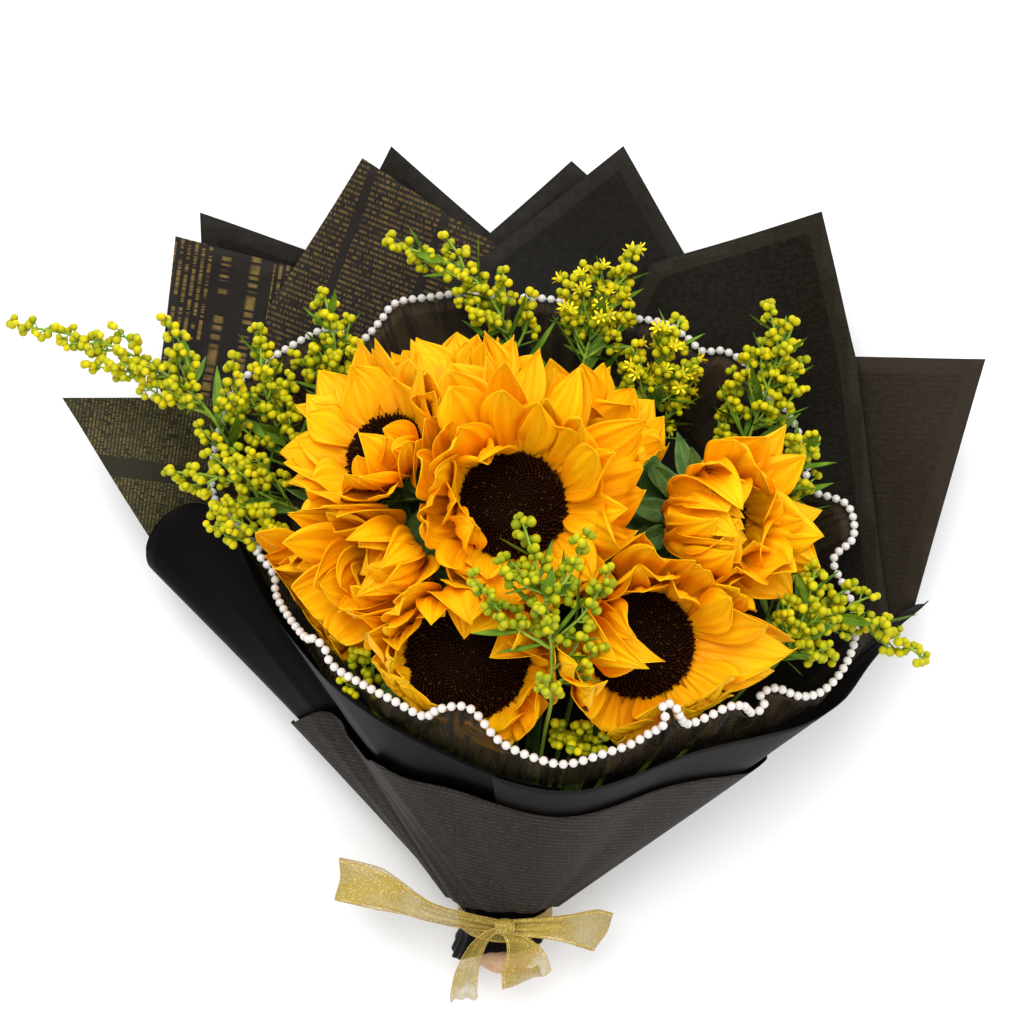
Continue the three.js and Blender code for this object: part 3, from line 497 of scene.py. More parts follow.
def petal_finish():
    paint = Paint("petal_yellow", Roughness=0.55, Subsurface_Weight=0.2,
                  Subsurface_Scale=0.003, Specular_IOR_Level=0.12)
    paint.shader.inputs["Subsurface Radius"].default_value = (1.0, 0.5, 0.05)
    u, v = paint.uv()
    tone = paint.stored("tone")
    along = paint.vector(paint.times(u, 24.0), paint.times(v, 1.6), paint.times(tone, 40.0))
    veins = paint.noise(along, 1.0, 2.0)
    clouds = paint.specks(55.0, 2.0)
    length = paint.ramp(v, (0.0, (0.7, 0.17, 0.001)), (0.16, (0.96, 0.34, 0.001)),
                        (0.5, (1.0, 0.48, 0.001)), (1.0, (1.0, 0.56, 0.002)))
    shade = paint.blend(paint.range(tone, 0.0, 1.0, 0.0, 0.5), length, (1.0, 0.36, 0.0))
    veined = paint.blend(paint.range(veins, 0.42, 0.72, 0.0, 0.4), shade, (0.85, 0.25, 0.0))
    cloudy = paint.blend(paint.range(clouds, 0.4, 0.75, 0.0, 0.45), veined, (1.0, 0.6, 0.004))
    # Painted shade: the grooves between the ridges across each petal are coloured a deeper orange.
    bent = paint.plus(u, paint.times(clouds, 0.12))
    ridges = paint.math("SINE", paint.plus(paint.times(bent, 26.0), paint.times(tone, 6.0)))
    groove_shade = paint.blend(paint.range(ridges, -1.0, 0.1, 0.3, 0.0), cloudy, (0.9, 0.28, 0.0))
    paint.set(Base_Color=groove_shade)
    paint.bump(paint.plus(veins, paint.times(ridges, 0.5)), 0.7, 0.8)
    return paint.material


def disc_finish():
    paint = Paint("disc_ground", Roughness=0.9, Specular_IOR_Level=0.0)
    grain = paint.specks(900.0)
    brown = paint.ramp(grain, (0.35, (0.006, 0.002, 0.0015)), (0.75, (0.016, 0.007, 0.004)))
    paint.set(Base_Color=brown)
    paint.bump(grain, 0.6, 0.4)
    return paint.material


def floret_finish():
    """Dark brown, olive towards the middle of the disc, where more florets are flecked."""
    paint = Paint("floret_brown", Roughness=0.85, Specular_IOR_Level=0.0)
    ring, tone, tip = paint.stored("ring"), paint.stored("tone"), paint.stored("tip")
    ground = paint.ramp(ring, (0.0, (0.026, 0.014, 0.002)), (0.35, (0.018, 0.008, 0.0015)),
                        (0.6, (0.009, 0.0025, 0.001)), (1.0, (0.014, 0.0035, 0.001)))
    inward = paint.range(ring, 0.15, 0.75, 0.9, 0.35)
    flecks = paint.times(paint.range(tone, 0.84, 1.0), inward)
    flecked = paint.blend(flecks, ground, (0.11, 0.068, 0.009))
    tipped = paint.blend(paint.times(tip, 0.3), flecked, (0.045, 0.016, 0.008))
    paint.set(Base_Color=tipped)
    return paint.material


def green_finish(name, dark, light, roughness=0.55):
    """Leaf or stem: mottled, with a paler middle vein and fine side veins."""
    paint = Paint(name, Roughness=roughness, Specular_IOR_Level=0.2)
    u, v = paint.uv()
    mottle = paint.specks(110.0, 4.0)
    fine = paint.specks(700.0, 2.0)
    colour = paint.ramp(mottle, (0.3, dark), (0.72, light))
    middle = paint.off(u, 0.5)
    vein = paint.range(middle, 0.0, 0.045, 0.45, 0.0)
    veined = paint.blend(vein, colour, tuple(min(1.0, 1.7 * c) for c in light))
    side = paint.math("SINE", paint.plus(paint.times(v, 44.0), paint.times(middle, -22.0)))
    paint.set(Base_Color=veined)
    paint.bump(paint.plus(paint.times(side, 0.35), fine), 0.5, 0.35)
    return paint.material


def bud_finish():
    """Greener at a bud's foot and paler at its crown; tone says how ripe it is."""
    paint = Paint("bud_yellow_green", Roughness=0.38, Subsurface_Weight=0.15,
                  Subsurface_Scale=0.002, Specular_IOR_Level=0.16)
    tone, tip = paint.stored("tone"), paint.stored("tip")
    body = paint.ramp(tone, (0.0, (0.14, 0.2, 0.003)), (0.3, (0.3, 0.32, 0.002)),
                      (0.6, (0.46, 0.42, 0.0015)), (1.0, (0.64, 0.52, 0.0015)))
    crown = paint.blend(paint.range(tip, 0.45, 1.0, 0.0, 0.4), body, (0.76, 0.64, 0.006))
    foot = paint.blend(paint.range(tip, -1.0, -0.2, 0.7, 0.0), crown, (0.16, 0.25, 0.008))
    paint.set(Base_Color=foot)
    paint.bump(paint.specks(700.0), 0.25, 0.2)
    return paint.material


def dashes(paint, along, across, pitch, bar, group, dash, share):
    """A mask of rows of plain dashes in groups; lengths are in mm.

    pitch is from row to row and bar a dash's height; group is about the length of a group,
    dash the length of one dash, and share how much of a row is filled.
    """
    place = paint.math("DIVIDE", across, pitch)
    row = paint.math("FLOOR", place)
    level = paint.off(paint.math("FRACT", place), 0.5)
    inside = paint.range(level, bar / pitch / 2 + 0.05, bar / pitch / 2 - 0.05)
    where = paint.vector(paint.math("DIVIDE", along, group), paint.times(row, 7.31))
    groups = paint.range(paint.noise(where, 1.0, 1.0), 0.52 - share, 0.54 - share)
    closer = paint.vector(paint.math("DIVIDE", along, dash), paint.times(row, 3.17))
    singles = paint.range(paint.noise(closer, 1.0, 0.0), 0.42, 0.5)
    return paint.times(inside, paint.times(groups, singles))


def columns_of(paint, along, wide, gap):
    """Leaves a blank gap between one column of rows and the next."""
    place = paint.math("FRACT", paint.math("DIVIDE", along, wide + gap))
    return paint.math("LESS_THAN", place, wide / (wide + gap))


def paper_finish(name, rim, inner, ink=None, print_rule=None, turn=0.0, gloss=0.62, shine=0.11):
    """Thin dark paper; rim is the paler colour along its free edges, inner the colour inside them,
    painted darker as the shade where the layers lie over one another.
    """
    paint = Paint(name, Roughness=gloss, Specular_IOR_Level=shine)
    fibres = paint.specks(350.0, 4.0, 0.7)
    clouds = paint.specks(14.0, 3.0)
    # Painted shade: inside a band along the free edges the colour turns from rim to the darker
    # inner one, where the layers lie over each other.
    at_rim = paint.range(paint.stored("tone"), 8.6, 9.2, 1.0, 0.0)
    base = paint.blend(at_rim, inner, rim)
    base = paint.blend(paint.range(clouds, 0.35, 0.7, 0.0, 0.5), base,
                       tuple(1.5 * c for c in inner))
    base = paint.blend(paint.range(fibres, 0.4, 0.75, 0.0, 0.3), base,
                       tuple(2.0 * c for c in rim))
    if ink:
        along, across = paint.turned_mm(turn)
        worn = paint.range(paint.specks(160.0), 0.3, 0.6, 0.35, 1.0)
        base = paint.blend(paint.times(print_rule(paint, along, across), worn), base, ink)
    paint.set(Base_Color=base)
    paint.bump(fibres, 0.15, 0.2)
    return paint.material


def gold_columns(paint, along, across):
    """Columns of fine rows, with rows of large dashes in the gaps between them."""
    fine = dashes(paint, along, across, 3.9, 1.8, 5.0, 0.95, 0.16)
    fine = paint.times(fine, columns_of(paint, across, 30.0, 34.0))
    fine = paint.times(fine, columns_of(paint, along, 58.0, 7.0))
    large = dashes(paint, along, across, 16.0, 4.8, 14.0, 2.6, 0.12)
    gaps = paint.math("SUBTRACT", 1.0, columns_of(paint, across, 34.0, 30.0))
    return paint.larger(fine, paint.times(large, gaps))


def gold_rows(paint, along, across):
    rows = dashes(paint, along, across, 3.1, 1.45, 4.6, 0.85, 0.18)
    return paint.times(rows, columns_of(paint, along, 42.0, 5.0))


def dense_rows(paint, along, across):
    rows = dashes(paint, along, across, 1.9, 1.1, 3.6, 0.7, 0.3)
    return paint.times(rows, columns_of(paint, along, 62.0, 11.0))


def faint_rows(paint, along, across):
    return dashes(paint, along, across, 3.0, 1.3, 4.0, 1.0, 0.1)


def grey_rows(paint, along, across):
    """Rows that sway a little, as the sheet bends."""
    sway = paint.times(paint.wave(along, 0.035), 1.6)
    return dashes(paint, along, paint.plus(across, sway), 2.2, 0.75, 4.0, 1.0, 0.22)


def pearl_finish():
    paint = Paint("pearl_white", Roughness=0.2, Coat_Weight=0.6, Coat_Roughness=0.1,
                  Subsurface_Weight=0.2, Subsurface_Scale=0.002)
    paint.set(Base_Color=paint.ramp(paint.specks(260.0), (0.3, (0.62, 0.58, 0.54)),
                                    (0.7, (0.72, 0.69, 0.66))))
    return paint.material


def net_finish():
    """Fine dark net: thin threads, dark fold lines and a close-woven edge by the pearls."""
    paint = Paint("net_brown", Roughness=0.7, Specular_IOR_Level=0.2)
    u, v = paint.uv()
    threads = paint.larger(paint.wave(u, 5200.0), paint.wave(v, 260.0))
    lines = paint.noise(paint.vector(paint.times(u, 330.0), paint.times(v, 1.2)), 1.0)
    fold = paint.range(lines, 0.57, 0.61, 0.0, 0.75)
    edge = paint.range(v, 0.08, 0.16, 0.5, 0.0)
    cover = paint.math("ADD", paint.range(threads, 0.5, 0.95, 0.42, 0.62),
                       paint.larger(fold, edge), clamp=True)
    colour = paint.ramp(lines, (0.42, (0.04, 0.024, 0.008)), (0.6, (0.008, 0.006, 0.004)))
    paint.set(Base_Color=colour, Alpha=cover)
    return paint.material


def ribbon_finish():
    """Sheer gold organza with a line of glitter inside each edge, whose glints are painted as
    bright pale gold specks.
    """
    paint = Paint("ribbon_gold", Roughness=0.42, Sheen_Weight=0.08, Metallic=0.1)
    u = paint.uv()[0]
    edge = paint.off(u, 0.5)
    line = paint.math("SUBTRACT", 1.0, paint.range(paint.off(edge, 0.44), 0.008, 0.02),
                      clamp=True)
    thick = paint.larger(line, paint.range(edge, 0.47, 0.485))
    # Painted glints: bright pale gold specks along the glitter lines stand in for the glitter
    # catching the light.
    painted_glints = paint.range(paint.specks(1000.0, 0.0), 0.58, 0.66)
    layers = paint.specks(42.0, 2.0)
    weave = paint.wave(u, 420.0)
    cloth = paint.blend(paint.range(weave, -1.0, 1.0), (0.38, 0.26, 0.012), (0.5, 0.36, 0.04))
    ribbon_colour = paint.blend(thick, cloth, (0.55, 0.34, 0.04))
    glint_share = paint.times(painted_glints, paint.range(line, 0.0, 1.0, 0.35, 1.0))
    ribbon_colour = paint.blend(glint_share, ribbon_colour, (1.0, 0.85, 0.4))
    cover = paint.larger(paint.range(layers, 0.4, 0.62, 0.32, 0.66),
                         paint.range(thick, 0.0, 1.0, 0.0, 0.85))
    paint.set(Base_Color=ribbon_colour, Alpha=cover)
    paint.bump(weave, 0.2, 0.1)
    return paint.material


def wad_finish():
    paint = Paint("wad_tan", Roughness=0.6, Subsurface_Weight=0.2, Subsurface_Scale=0.004)
    fluff = paint.specks(120.0, 5.0, 0.7)
    paint.set(Base_Color=paint.ramp(fluff, (0.3, (0.5, 0.27, 0.14)), (0.7, (0.74, 0.48, 0.3))))
    paint.bump(fluff, 0.6, 1.2)
    return paint.material


def star_finish():
    paint = Paint("open_floret_yellow", Roughness=0.6, Specular_IOR_Level=0.25)
    paint.set(Base_Color=paint.ramp(paint.specks(900.0), (0.3, (0.85, 0.62, 0.003)),
                                    (0.7, (0.98, 0.8, 0.01))))
    return paint.material


PETAL = petal_finish()
DISC = disc_finish()
FLORET = floret_finish()
BLOOM_GREEN = green_finish("sunflower_green", (0.03, 0.075, 0.012), (0.1, 0.2, 0.035))
STEM_GREEN = green_finish("sunflower_stem", (0.07, 0.15, 0.025), (0.16, 0.28, 0.05), 0.5)
TWIG_GREEN = green_finish("goldenrod_stem", (0.15, 0.26, 0.02), (0.3, 0.43, 0.04), 0.5)
LEAF_GREEN = green_finish("goldenrod_leaf", (0.06, 0.15, 0.008), (0.2, 0.36, 0.025), 0.48)
BUD = bud_finish()
PEARL = pearl_finish()
NET = net_finish()
RIBBON = ribbon_finish()
WAD = wad_finish()
STAR = star_finish()
GOLD_INK = (0.175, 0.115, 0.034)
OLIVE_INK = (0.125, 0.102, 0.034)
GREY_INK = (0.042, 0.036, 0.031)
BLACK = (0.0016, 0.0012, 0.001)
PLAIN_PAPER = paper_finish("paper_plain", (0.0145, 0.0125, 0.0095), (0.0055, 0.0047, 0.0035))
FRONT_PAPER = paper_finish("paper_front_black", BLACK, BLACK, gloss=0.45, shine=0.045)


# ---------------------------------------------------------------- front of the wrap
RIM_LINE = Line([
    (-206, -22, 24), (-210, -22, 48), (-192, -2, 66), (-173, 5, 78), (-157, -3, 83),
    (-135, -42, 105), (-111, -73, 128), (-89, -93, 142), (-42, -120, 158), (25, -140, 169),
    (97, -121, 150), (150, -112, 120), (178, -100, 92), (200, -76, 74), (226, -48, 70),
    (230, -50, 44), (224, -52, 24),
])
NECK_HALF_WIDTH = 33.0
NECK_HALF_HEIGHT = 30.0
WRAP_STATIONS = 32
FAR_FROM_RIM = 30.0                # a tone that paper_finish paints without its paler rim
HEART = TIE + HEAD_AXIS * 120.0    # the middle of the wrap


def wrap_point(share, t):
    """A point of the wrap: share goes round its front from the left, t from neck to rim."""
    angle = math.radians(mix(68, 292, share))
    neck = np.array([-2 - NECK_HALF_WIDTH * math.sin(angle), -210 + 7 * math.cos(angle),
                     38 - NECK_HALF_HEIGHT * math.cos(angle)])
    point = mix(neck, RIM_LINE.at(share), t)
    at_edge = clamp01(1 - 8 * min(share, 1 - share))
    point[2] -= 12 * at_edge * math.sin(math.pi * t)
    return point


def wrap_frame(share, t):
    """A point of the wrap and its normal, which faces away from the flowers."""
    point = wrap_point(share, t)
    along = wrap_point(share, t + 0.02) - wrap_point(share, t - 0.02)
    around = wrap_point(min(1.0, share + 0.004), t) - wrap_point(max(0.0, share - 0.004), t)
    normal = unit(np.cross(around, along))
    return point, normal if normal.dot(point - HEART) > 0 else -normal


def crease(share, t):
    """How far the wrap's creases stand out; they fan from the neck to the rim."""
    deep = 0.55 * math.sin(2 * math.pi * 7 * share + 0.8 + math.sin(3 * t))
    fine = 0.22 * math.sin(2 * math.pi * 17 * share + 2.5 * t)
    ripple = 0.25 * math.sin(7 * t + 23 * share)
    return (deep + fine) * (1 - 0.5 * t) + ripple


def wrap_piece(name, first, last, outside, finish, top=None):
    """One front sheet, from one station to another, so many mm outside the wrap."""
    stations = (last - first) * 6
    rows = []
    for k in range(stations + 1):
        share = mix(first, last, k / stations) / WRAP_STATIONS
        reach = top(k / stations) if top else 1.0
        row = []
        for t in np.linspace(0.0, 1.0, 31) * reach:
            point, normal = wrap_frame(share, t)
            row.append(point + normal * (outside + crease(share, t)))
        rows.append(row)
    shape = Shape()
    shape.grid(np.array(rows).transpose(1, 0, 2), tone=FAR_FROM_RIM)
    piece = thicken(shape.piece(name, [finish]), PAPER_THICKNESS)
    return dress(piece, "paper_" + name)


PRINT_TOP = [0.5, 0.48, 0.48, 0.55, 0.68, 0.83, 0.8, 0.73, 0.6, 0.5]


def print_top(share):
    """How far up the wrap the printed outer sheet reaches, from its left end to its right."""
    place = share * (len(PRINT_TOP) - 1)
    start = min(int(place), len(PRINT_TOP) - 2)
    weight = place - start
    return mix(PRINT_TOP[start], PRINT_TOP[start + 1], weight * weight * (3 - 2 * weight))


def left_top(share):
    """The top of the left sheet, a little lower near its rounded left end."""
    return 1.0 - 0.05 * math.exp(-((share - 0.07) / 0.07) ** 2)


def wrap_fronts():
    printed = paper_finish("paper_front_printed", (0.0135, 0.0102, 0.0078), (0.012, 0.009, 0.007),
                           GREY_INK, grey_rows, math.radians(7))
    plain = paper_finish("paper_front_grey", (0.0085, 0.0072, 0.0062), (0.007, 0.0058, 0.005))
    wrap_piece("front_left", 0, 18, 0.0, FRONT_PAPER, left_top)
    wrap_piece("front_right", 17, 32, 2.2, plain)
    wrap_piece("front_outer", 1, 30, 4.6, printed, print_top)


# ---------------------------------------------------------------- blooms
# face is where a bloom looks and disc its disc's radius. folds bend the petals that point toward
# a heading: heading and spread in degrees, then how far they lift and how far they bend over.
# short makes petals near a heading shorter by a share, or longer where it is below 0. notch is
# the normal of one more plane that keeps the petals back, and a point that it goes through.
BLOOMS = [
    dict(name="centre", at=(0, 3, 162), face=(0, 0.06, 1), disc=26, reach=1.25, petals=52,
         width=1.15, folds=[(45, 80, 6, 10), (150, 60, 30, 30), (215, 40, 10, 50)],
         short=[(224, 60, 0.4)]),
    dict(name="front_left", at=(-23, -75, 156), face=(-0.05, -0.08, 0.99), disc=30, reach=1.1,
         petals=46, width=1.2, notch=((0.75, -0.66, 0), (13, -113, 0)),
         folds=[(85, 95, 26, 76), (340, 56, 16, 10), (235, 60, 20, 0)],
         short=[(255, 105, 0.55), (5, 60, -0.25)]),
    dict(name="front_right", at=(66, -68, 154), face=(0.12, -0.06, 0.98), disc=26, reach=1.15,
         petals=46, width=1.15, notch=((-0.75, -0.66, 0), (38, -110, 0)),
         folds=[(110, 80, 20, 34), (170, 40, 40, 70), (290, 50, 4, 24)],
         short=[(214, 66, -0.3)]),
    dict(name="right", at=(101, -4, 132), face=(0.22, -0.05, 0.97), disc=20, reach=1.25,
         petals=42, width=1.3, folds=[(0, 400, 22, 10), (180, 105, 46, 66)],
         short=[(0, 110, 0.3)]),
    dict(name="left", at=(-66, 31, 134), face=(-0.42, 0.46, 0.78), disc=20, reach=1.0,
         petals=46, width=1.15, folds=[(318, 84, 36, 18)], short=[(170, 110, 0.17)]),
    dict(name="back_left", at=(-30, 57, 116), face=(-0.15, 0.8, 0.58), disc=16, reach=0.85,
         petals=34, width=1.2, folds=[(270, 150, 34, 30)], short=[(90, 130, 0.16)]),
    dict(name="back_right", at=(42, 29, 110), face=(0.35, 0.5, 0.79), disc=16, reach=1.0,
         petals=34, width=1.2, folds=[(240, 160, 34, 40)], short=[(10, 120, 0.26)]),
    dict(name="low_left", at=(-60, -26, 138), face=(-0.45, -0.2, 0.86), disc=14, reach=1.1,
         petals=30, width=1.2, folds=[(340, 150, 44, 60), (180, 100, 14, 10)]),
    dict(name="far_left", at=(-89, -42, 98), face=(-0.42, -0.1, 0.9), disc=14, reach=1.15,
         petals=30, width=1.2, folds=[(20, 150, 40, 50), (200, 100, 12, 4)],
         short=[(180, 130, 0.05)]),
]
CROWD_OVERLAP = 5.0           # petals reach this far past the plane between two blooms
CROWD_SOFTNESS = 7.0          # they begin to bend this far from it
WALL_MARGIN = 9.5             # room for the net between the petals and the wrap
WALL_SOFTNESS = 5.0
PLATE_THICKNESS = 3.0         # the plate that the petals grow from
PETAL_ROOT = 3.2              # they start this far inside its edge


def planes_round(bloom):
    """The planes that keep a bloom to its own place, as normal, limit, lift and softness."""
    planes = []
    for other in BLOOMS:
        if other is not bloom:
            normal = other["centre"] - bloom["centre"]
            gap = np.linalg.norm(normal)
            share = bloom["reach"] / (bloom["reach"] + other["reach"])
            planes.append((normal / gap, gap * share + CROWD_OVERLAP, 0.3, CROWD_SOFTNESS))
    share = 0.27
    while share < 0.8:
        point, normal = wrap_frame(share, 0.9)
        limit = (point - bloom["centre"]).dot(normal) - WALL_MARGIN
        planes.append((normal, limit, 0.1, WALL_SOFTNESS))
        share += 0.06
    if "notch" in bloom:
        normal, through = (np.array(values, float) for values in bloom["notch"])
        limit = (through - bloom["centre"]).dot(normal)
        planes.append((normal, limit, 0.2, CROWD_SOFTNESS))
    return planes


def bent_clear(points, bloom):
    """Bends an array of points of a bloom back from the planes round it."""
    bent = points.copy()
    for effort in (1.0, 0.3, 0.1):
        for normal, limit, lift, soft in bloom["planes"]:
            beyond = np.maximum((bent - bloom["centre"]) @ normal - limit + soft, 0.0)
            back = (beyond - beyond / (1 + beyond / soft))[..., None]
            bent += back * (bloom["normal"] * lift * effort - normal)
    return bent


def blade_width(t, fullest):
    """A petal's or leaf's share of its full width at a share of its length."""
    rise = np.sin(np.minimum(1, t / fullest) * math.pi / 2)
    fall = np.cos(clamp01((t - fullest) / (1 - fullest)) * math.pi / 2) ** 1.05
    return mix(0.28, 1.0, rise) * fall


def blade_grid(bloom, azimuth, root, height, length, width, rise, tip, rows, columns, cup=0.2,
               twist=0.0, sway=0.0, wave=0.0, phase=0.0, crease=0.0, roll=0.0, fullest=0.5):
    """The points of a petal, bract or leaf of a bloom, which starts root mm from its axis.

    rise and tip are its slopes at its root and its tip, crease folds it along its middle, roll
    turns up the edge on one side, and wave is how far its edges wave.
    """
    right, up = across_of(bloom["normal"])
    out = spoke(right, up, azimuth)
    side = np.cross(bloom["normal"], out)
    t = np.linspace(0.0, 1.0, rows)
    slope = mix(rise, tip, t ** 1.4)
    heading = np.outer(np.cos(slope), out) + np.outer(np.sin(slope), bloom["normal"])
    steps = np.vstack([np.zeros(3), heading[1:] * length / (rows - 1)])
    middle = bloom["centre"] + out * root + bloom["normal"] * height + np.cumsum(steps, axis=0)
    middle = middle + np.outer(sway * t ** 2, side)
    over = -np.cross(heading, side)
    turn = twist * t
    wide = np.outer(np.cos(turn), side) + np.sin(turn)[:, None] * over
    face = np.cos(turn)[:, None] * over - np.outer(np.sin(turn), side)
    half = (width / 2) * blade_width(t, fullest)
    s = np.linspace(-1.0, 1.0, columns)[None, :]
    pleats = 0.045 * np.cos(s * 3.4 + 0.4 * math.sin(phase)) + 0.03 * np.sin(s * 9 + phase)
    pleat = width * pleats * np.sin(math.pi * t)[:, None]
    curl = wave * np.abs(s) ** 2.5 * np.sin(phase + 7.0 * t[:, None] + 1.4 * s)
    edge = np.maximum(0.0, s * math.copysign(1.0, roll) - 0.3) ** 2
    folded = -cup * s ** 2 + crease * np.abs(s) + 1.6 * abs(roll) * edge
    lift = folded * half[:, None] + pleat + curl * np.sin(math.pi * t)[:, None] ** 0.5
    points = (middle[:, None, :] + (half[:, None] * s)[..., None] * wide[:, None, :]
              + lift[..., None] * face[:, None, :])
    points[1:] = bent_clear(points[1:], bloom)
    return points


def nearness(azimuth, toward, spread):
    """1 for petals that point toward a heading in degrees, 0 for those well away from it."""
    turn = abs(((azimuth - math.radians(toward)) / math.pi + 5) % 2 - 1) * 180
    return float(clamp01(1.3 - turn / spread))


def fold_at(bloom, azimuth):
    """How far a petal lifts and how far it bends over, in degrees."""
    lift = over = 0.0
    for toward, spread, fold_lift, fold_over in bloom["folds"]:
        share = nearness(azimuth, toward, spread)
        lift += fold_lift * share
        over += fold_over * share
    return lift, over


# Each whorl of petals: rise in degrees, height of its root, share of the full length.
WHORLS = [(12, -1.9, 1.0), (24, -1.4, 0.98), (38, -1.0, 0.9), (50, -0.5, 0.72)]
STEEPEST = 88.0


def petals_of(bloom, seed):
    draw = random.Random(seed)
    shape = Shape()
    for k in range(bloom["petals"]):
        rise, height, share = WHORLS[k % len(WHORLS)]
        azimuth = (k + 0.7 * (draw.random() - 0.5)) / bloom["petals"] * 2 * math.pi
        lift, over = fold_at(bloom, azimuth)
        rise = min(STEEPEST, rise + draw.uniform(-5, 9) + lift)
        for toward, spread, lack in bloom.get("short", []):
            share *= 1 - lack * nearness(azimuth, toward, spread)
        grid = blade_grid(
            bloom, azimuth, bloom["plate"] - PETAL_ROOT, height,
            PETAL_LENGTH * bloom["reach"] * share * draw.uniform(0.86, 1.07),
            PETAL_WIDTH * bloom["width"] * draw.uniform(0.58, 0.86),
            math.radians(rise), math.radians(rise + over + draw.uniform(-34, 26)),
            cup=draw.uniform(-0.2, 0.35), twist=draw.uniform(-0.65, 0.65),
            sway=draw.uniform(-11, 11), wave=draw.uniform(0.8, 3.8),
            phase=draw.uniform(0, 2 * math.pi), crease=draw.choice((0.0, 0.15, 0.3, 0.55)),
            roll=draw.choice((0.0, 0.0, 0.4, -0.4)), fullest=draw.uniform(0.4, 0.62),
            rows=19, columns=13)
        shape.grid(grid, tone=draw.random())
    piece = shape.piece("petals_of_" + bloom["name"], [PETAL])
    return dress(thicken(piece, PETAL_THICKNESS), "petals_" + bloom["name"])


FLORET_WIDTH = 0.85
FLORET_LENGTH = 2.1
FLORET_TAPER = 0.45
FLORETS_TO_AREA = 1.25        # times the square of the disc's radius in mm
DISC_SINK = 0.6               # the ground lies this far below the florets' dome


def dome(share):
    """Height of the florets' dome at a share of the disc's radius."""
    return 3.2 + 4.2 * math.sin(share * math.pi * 0.8) - 2.6 * share ** 4


def floret_tree():
    tree = Tree("florets on a disc")
    width = tree.size("Floret width")
    length = tree.size("Floret length")
    cone = tree.node("GeometryNodeMeshCone", fill_type="NGON")
    cone.inputs["Vertices"].default_value = 5
    tree.link(width, cone.inputs["Radius Bottom"])
    tree.link(tree.math("MULTIPLY", width, FLORET_TAPER), cone.inputs["Radius Top"])
    tree.link(length, cone.inputs["Depth"])
    floret = tree.with_tip(cone.outputs["Mesh"], cone.outputs["Top"])
    tree.set_on_points(tree.start.outputs["Geometry"], floret, FLORET)
    return tree


def disc_of(bloom, seed, florets):
    """The dome of the disc, with florets in the order that they grow in."""
    draw = random.Random(seed + 20)
    right, up = across_of(bloom["normal"])
    ground = Shape()
    rows = []
    for share in [0.0, *np.linspace(0.1, 1.0, 12), 1.0 + 2.6 / bloom["disc"]]:
        level = dome(share) - DISC_SINK if share <= 1.0 else -DISC_SINK
        around = circle(right, up, 40) * bloom["disc"] * share
        rows.append(bloom["centre"] + around + bloom["normal"] * level)
    ground.grid(np.array(rows), wrapped=True)
    ground.cap(rows[-1][::-1])
    piece = ground.piece("disc_of_" + bloom["name"], [DISC])
    count = int(FLORETS_TO_AREA * bloom["disc"] ** 2)
    points, leans, sizes, rings, tones = [], [], [], [], []
    for k in range(count):
        share = math.sqrt((k + 0.5) / count) * 1.03
        around = spoke(right, up, k * GOLDEN_ANGLE + draw.uniform(-0.02, 0.02))
        slope = 0.9 * max(0.0, share - 0.35) - 0.25 * (share < 0.25)
        slope += 0.8 * max(0.0, share - 0.9) / 0.1
        points.append(bloom["centre"] + around * bloom["disc"] * share
                      + bloom["normal"] * (dome(min(1.0, share)) - 0.8))
        leans.append(unit(bloom["normal"] + around * (slope + draw.uniform(-0.2, 0.2))))
        sizes.append(mix(0.7, 1.1, share) * draw.uniform(0.75, 1.3))
        rings.append(share)
        tones.append(draw.random())
    seeds = point_piece("florets_of_" + bloom["name"], points, leans, sizes, ring=rings,
                        tone=tones)
    seeds.data = florets.grow(seeds, {"Floret width": FLORET_WIDTH * MM,
                                      "Floret length": FLORET_LENGTH * MM})
    return dress(join([piece, seeds]), "disc_" + bloom["name"])


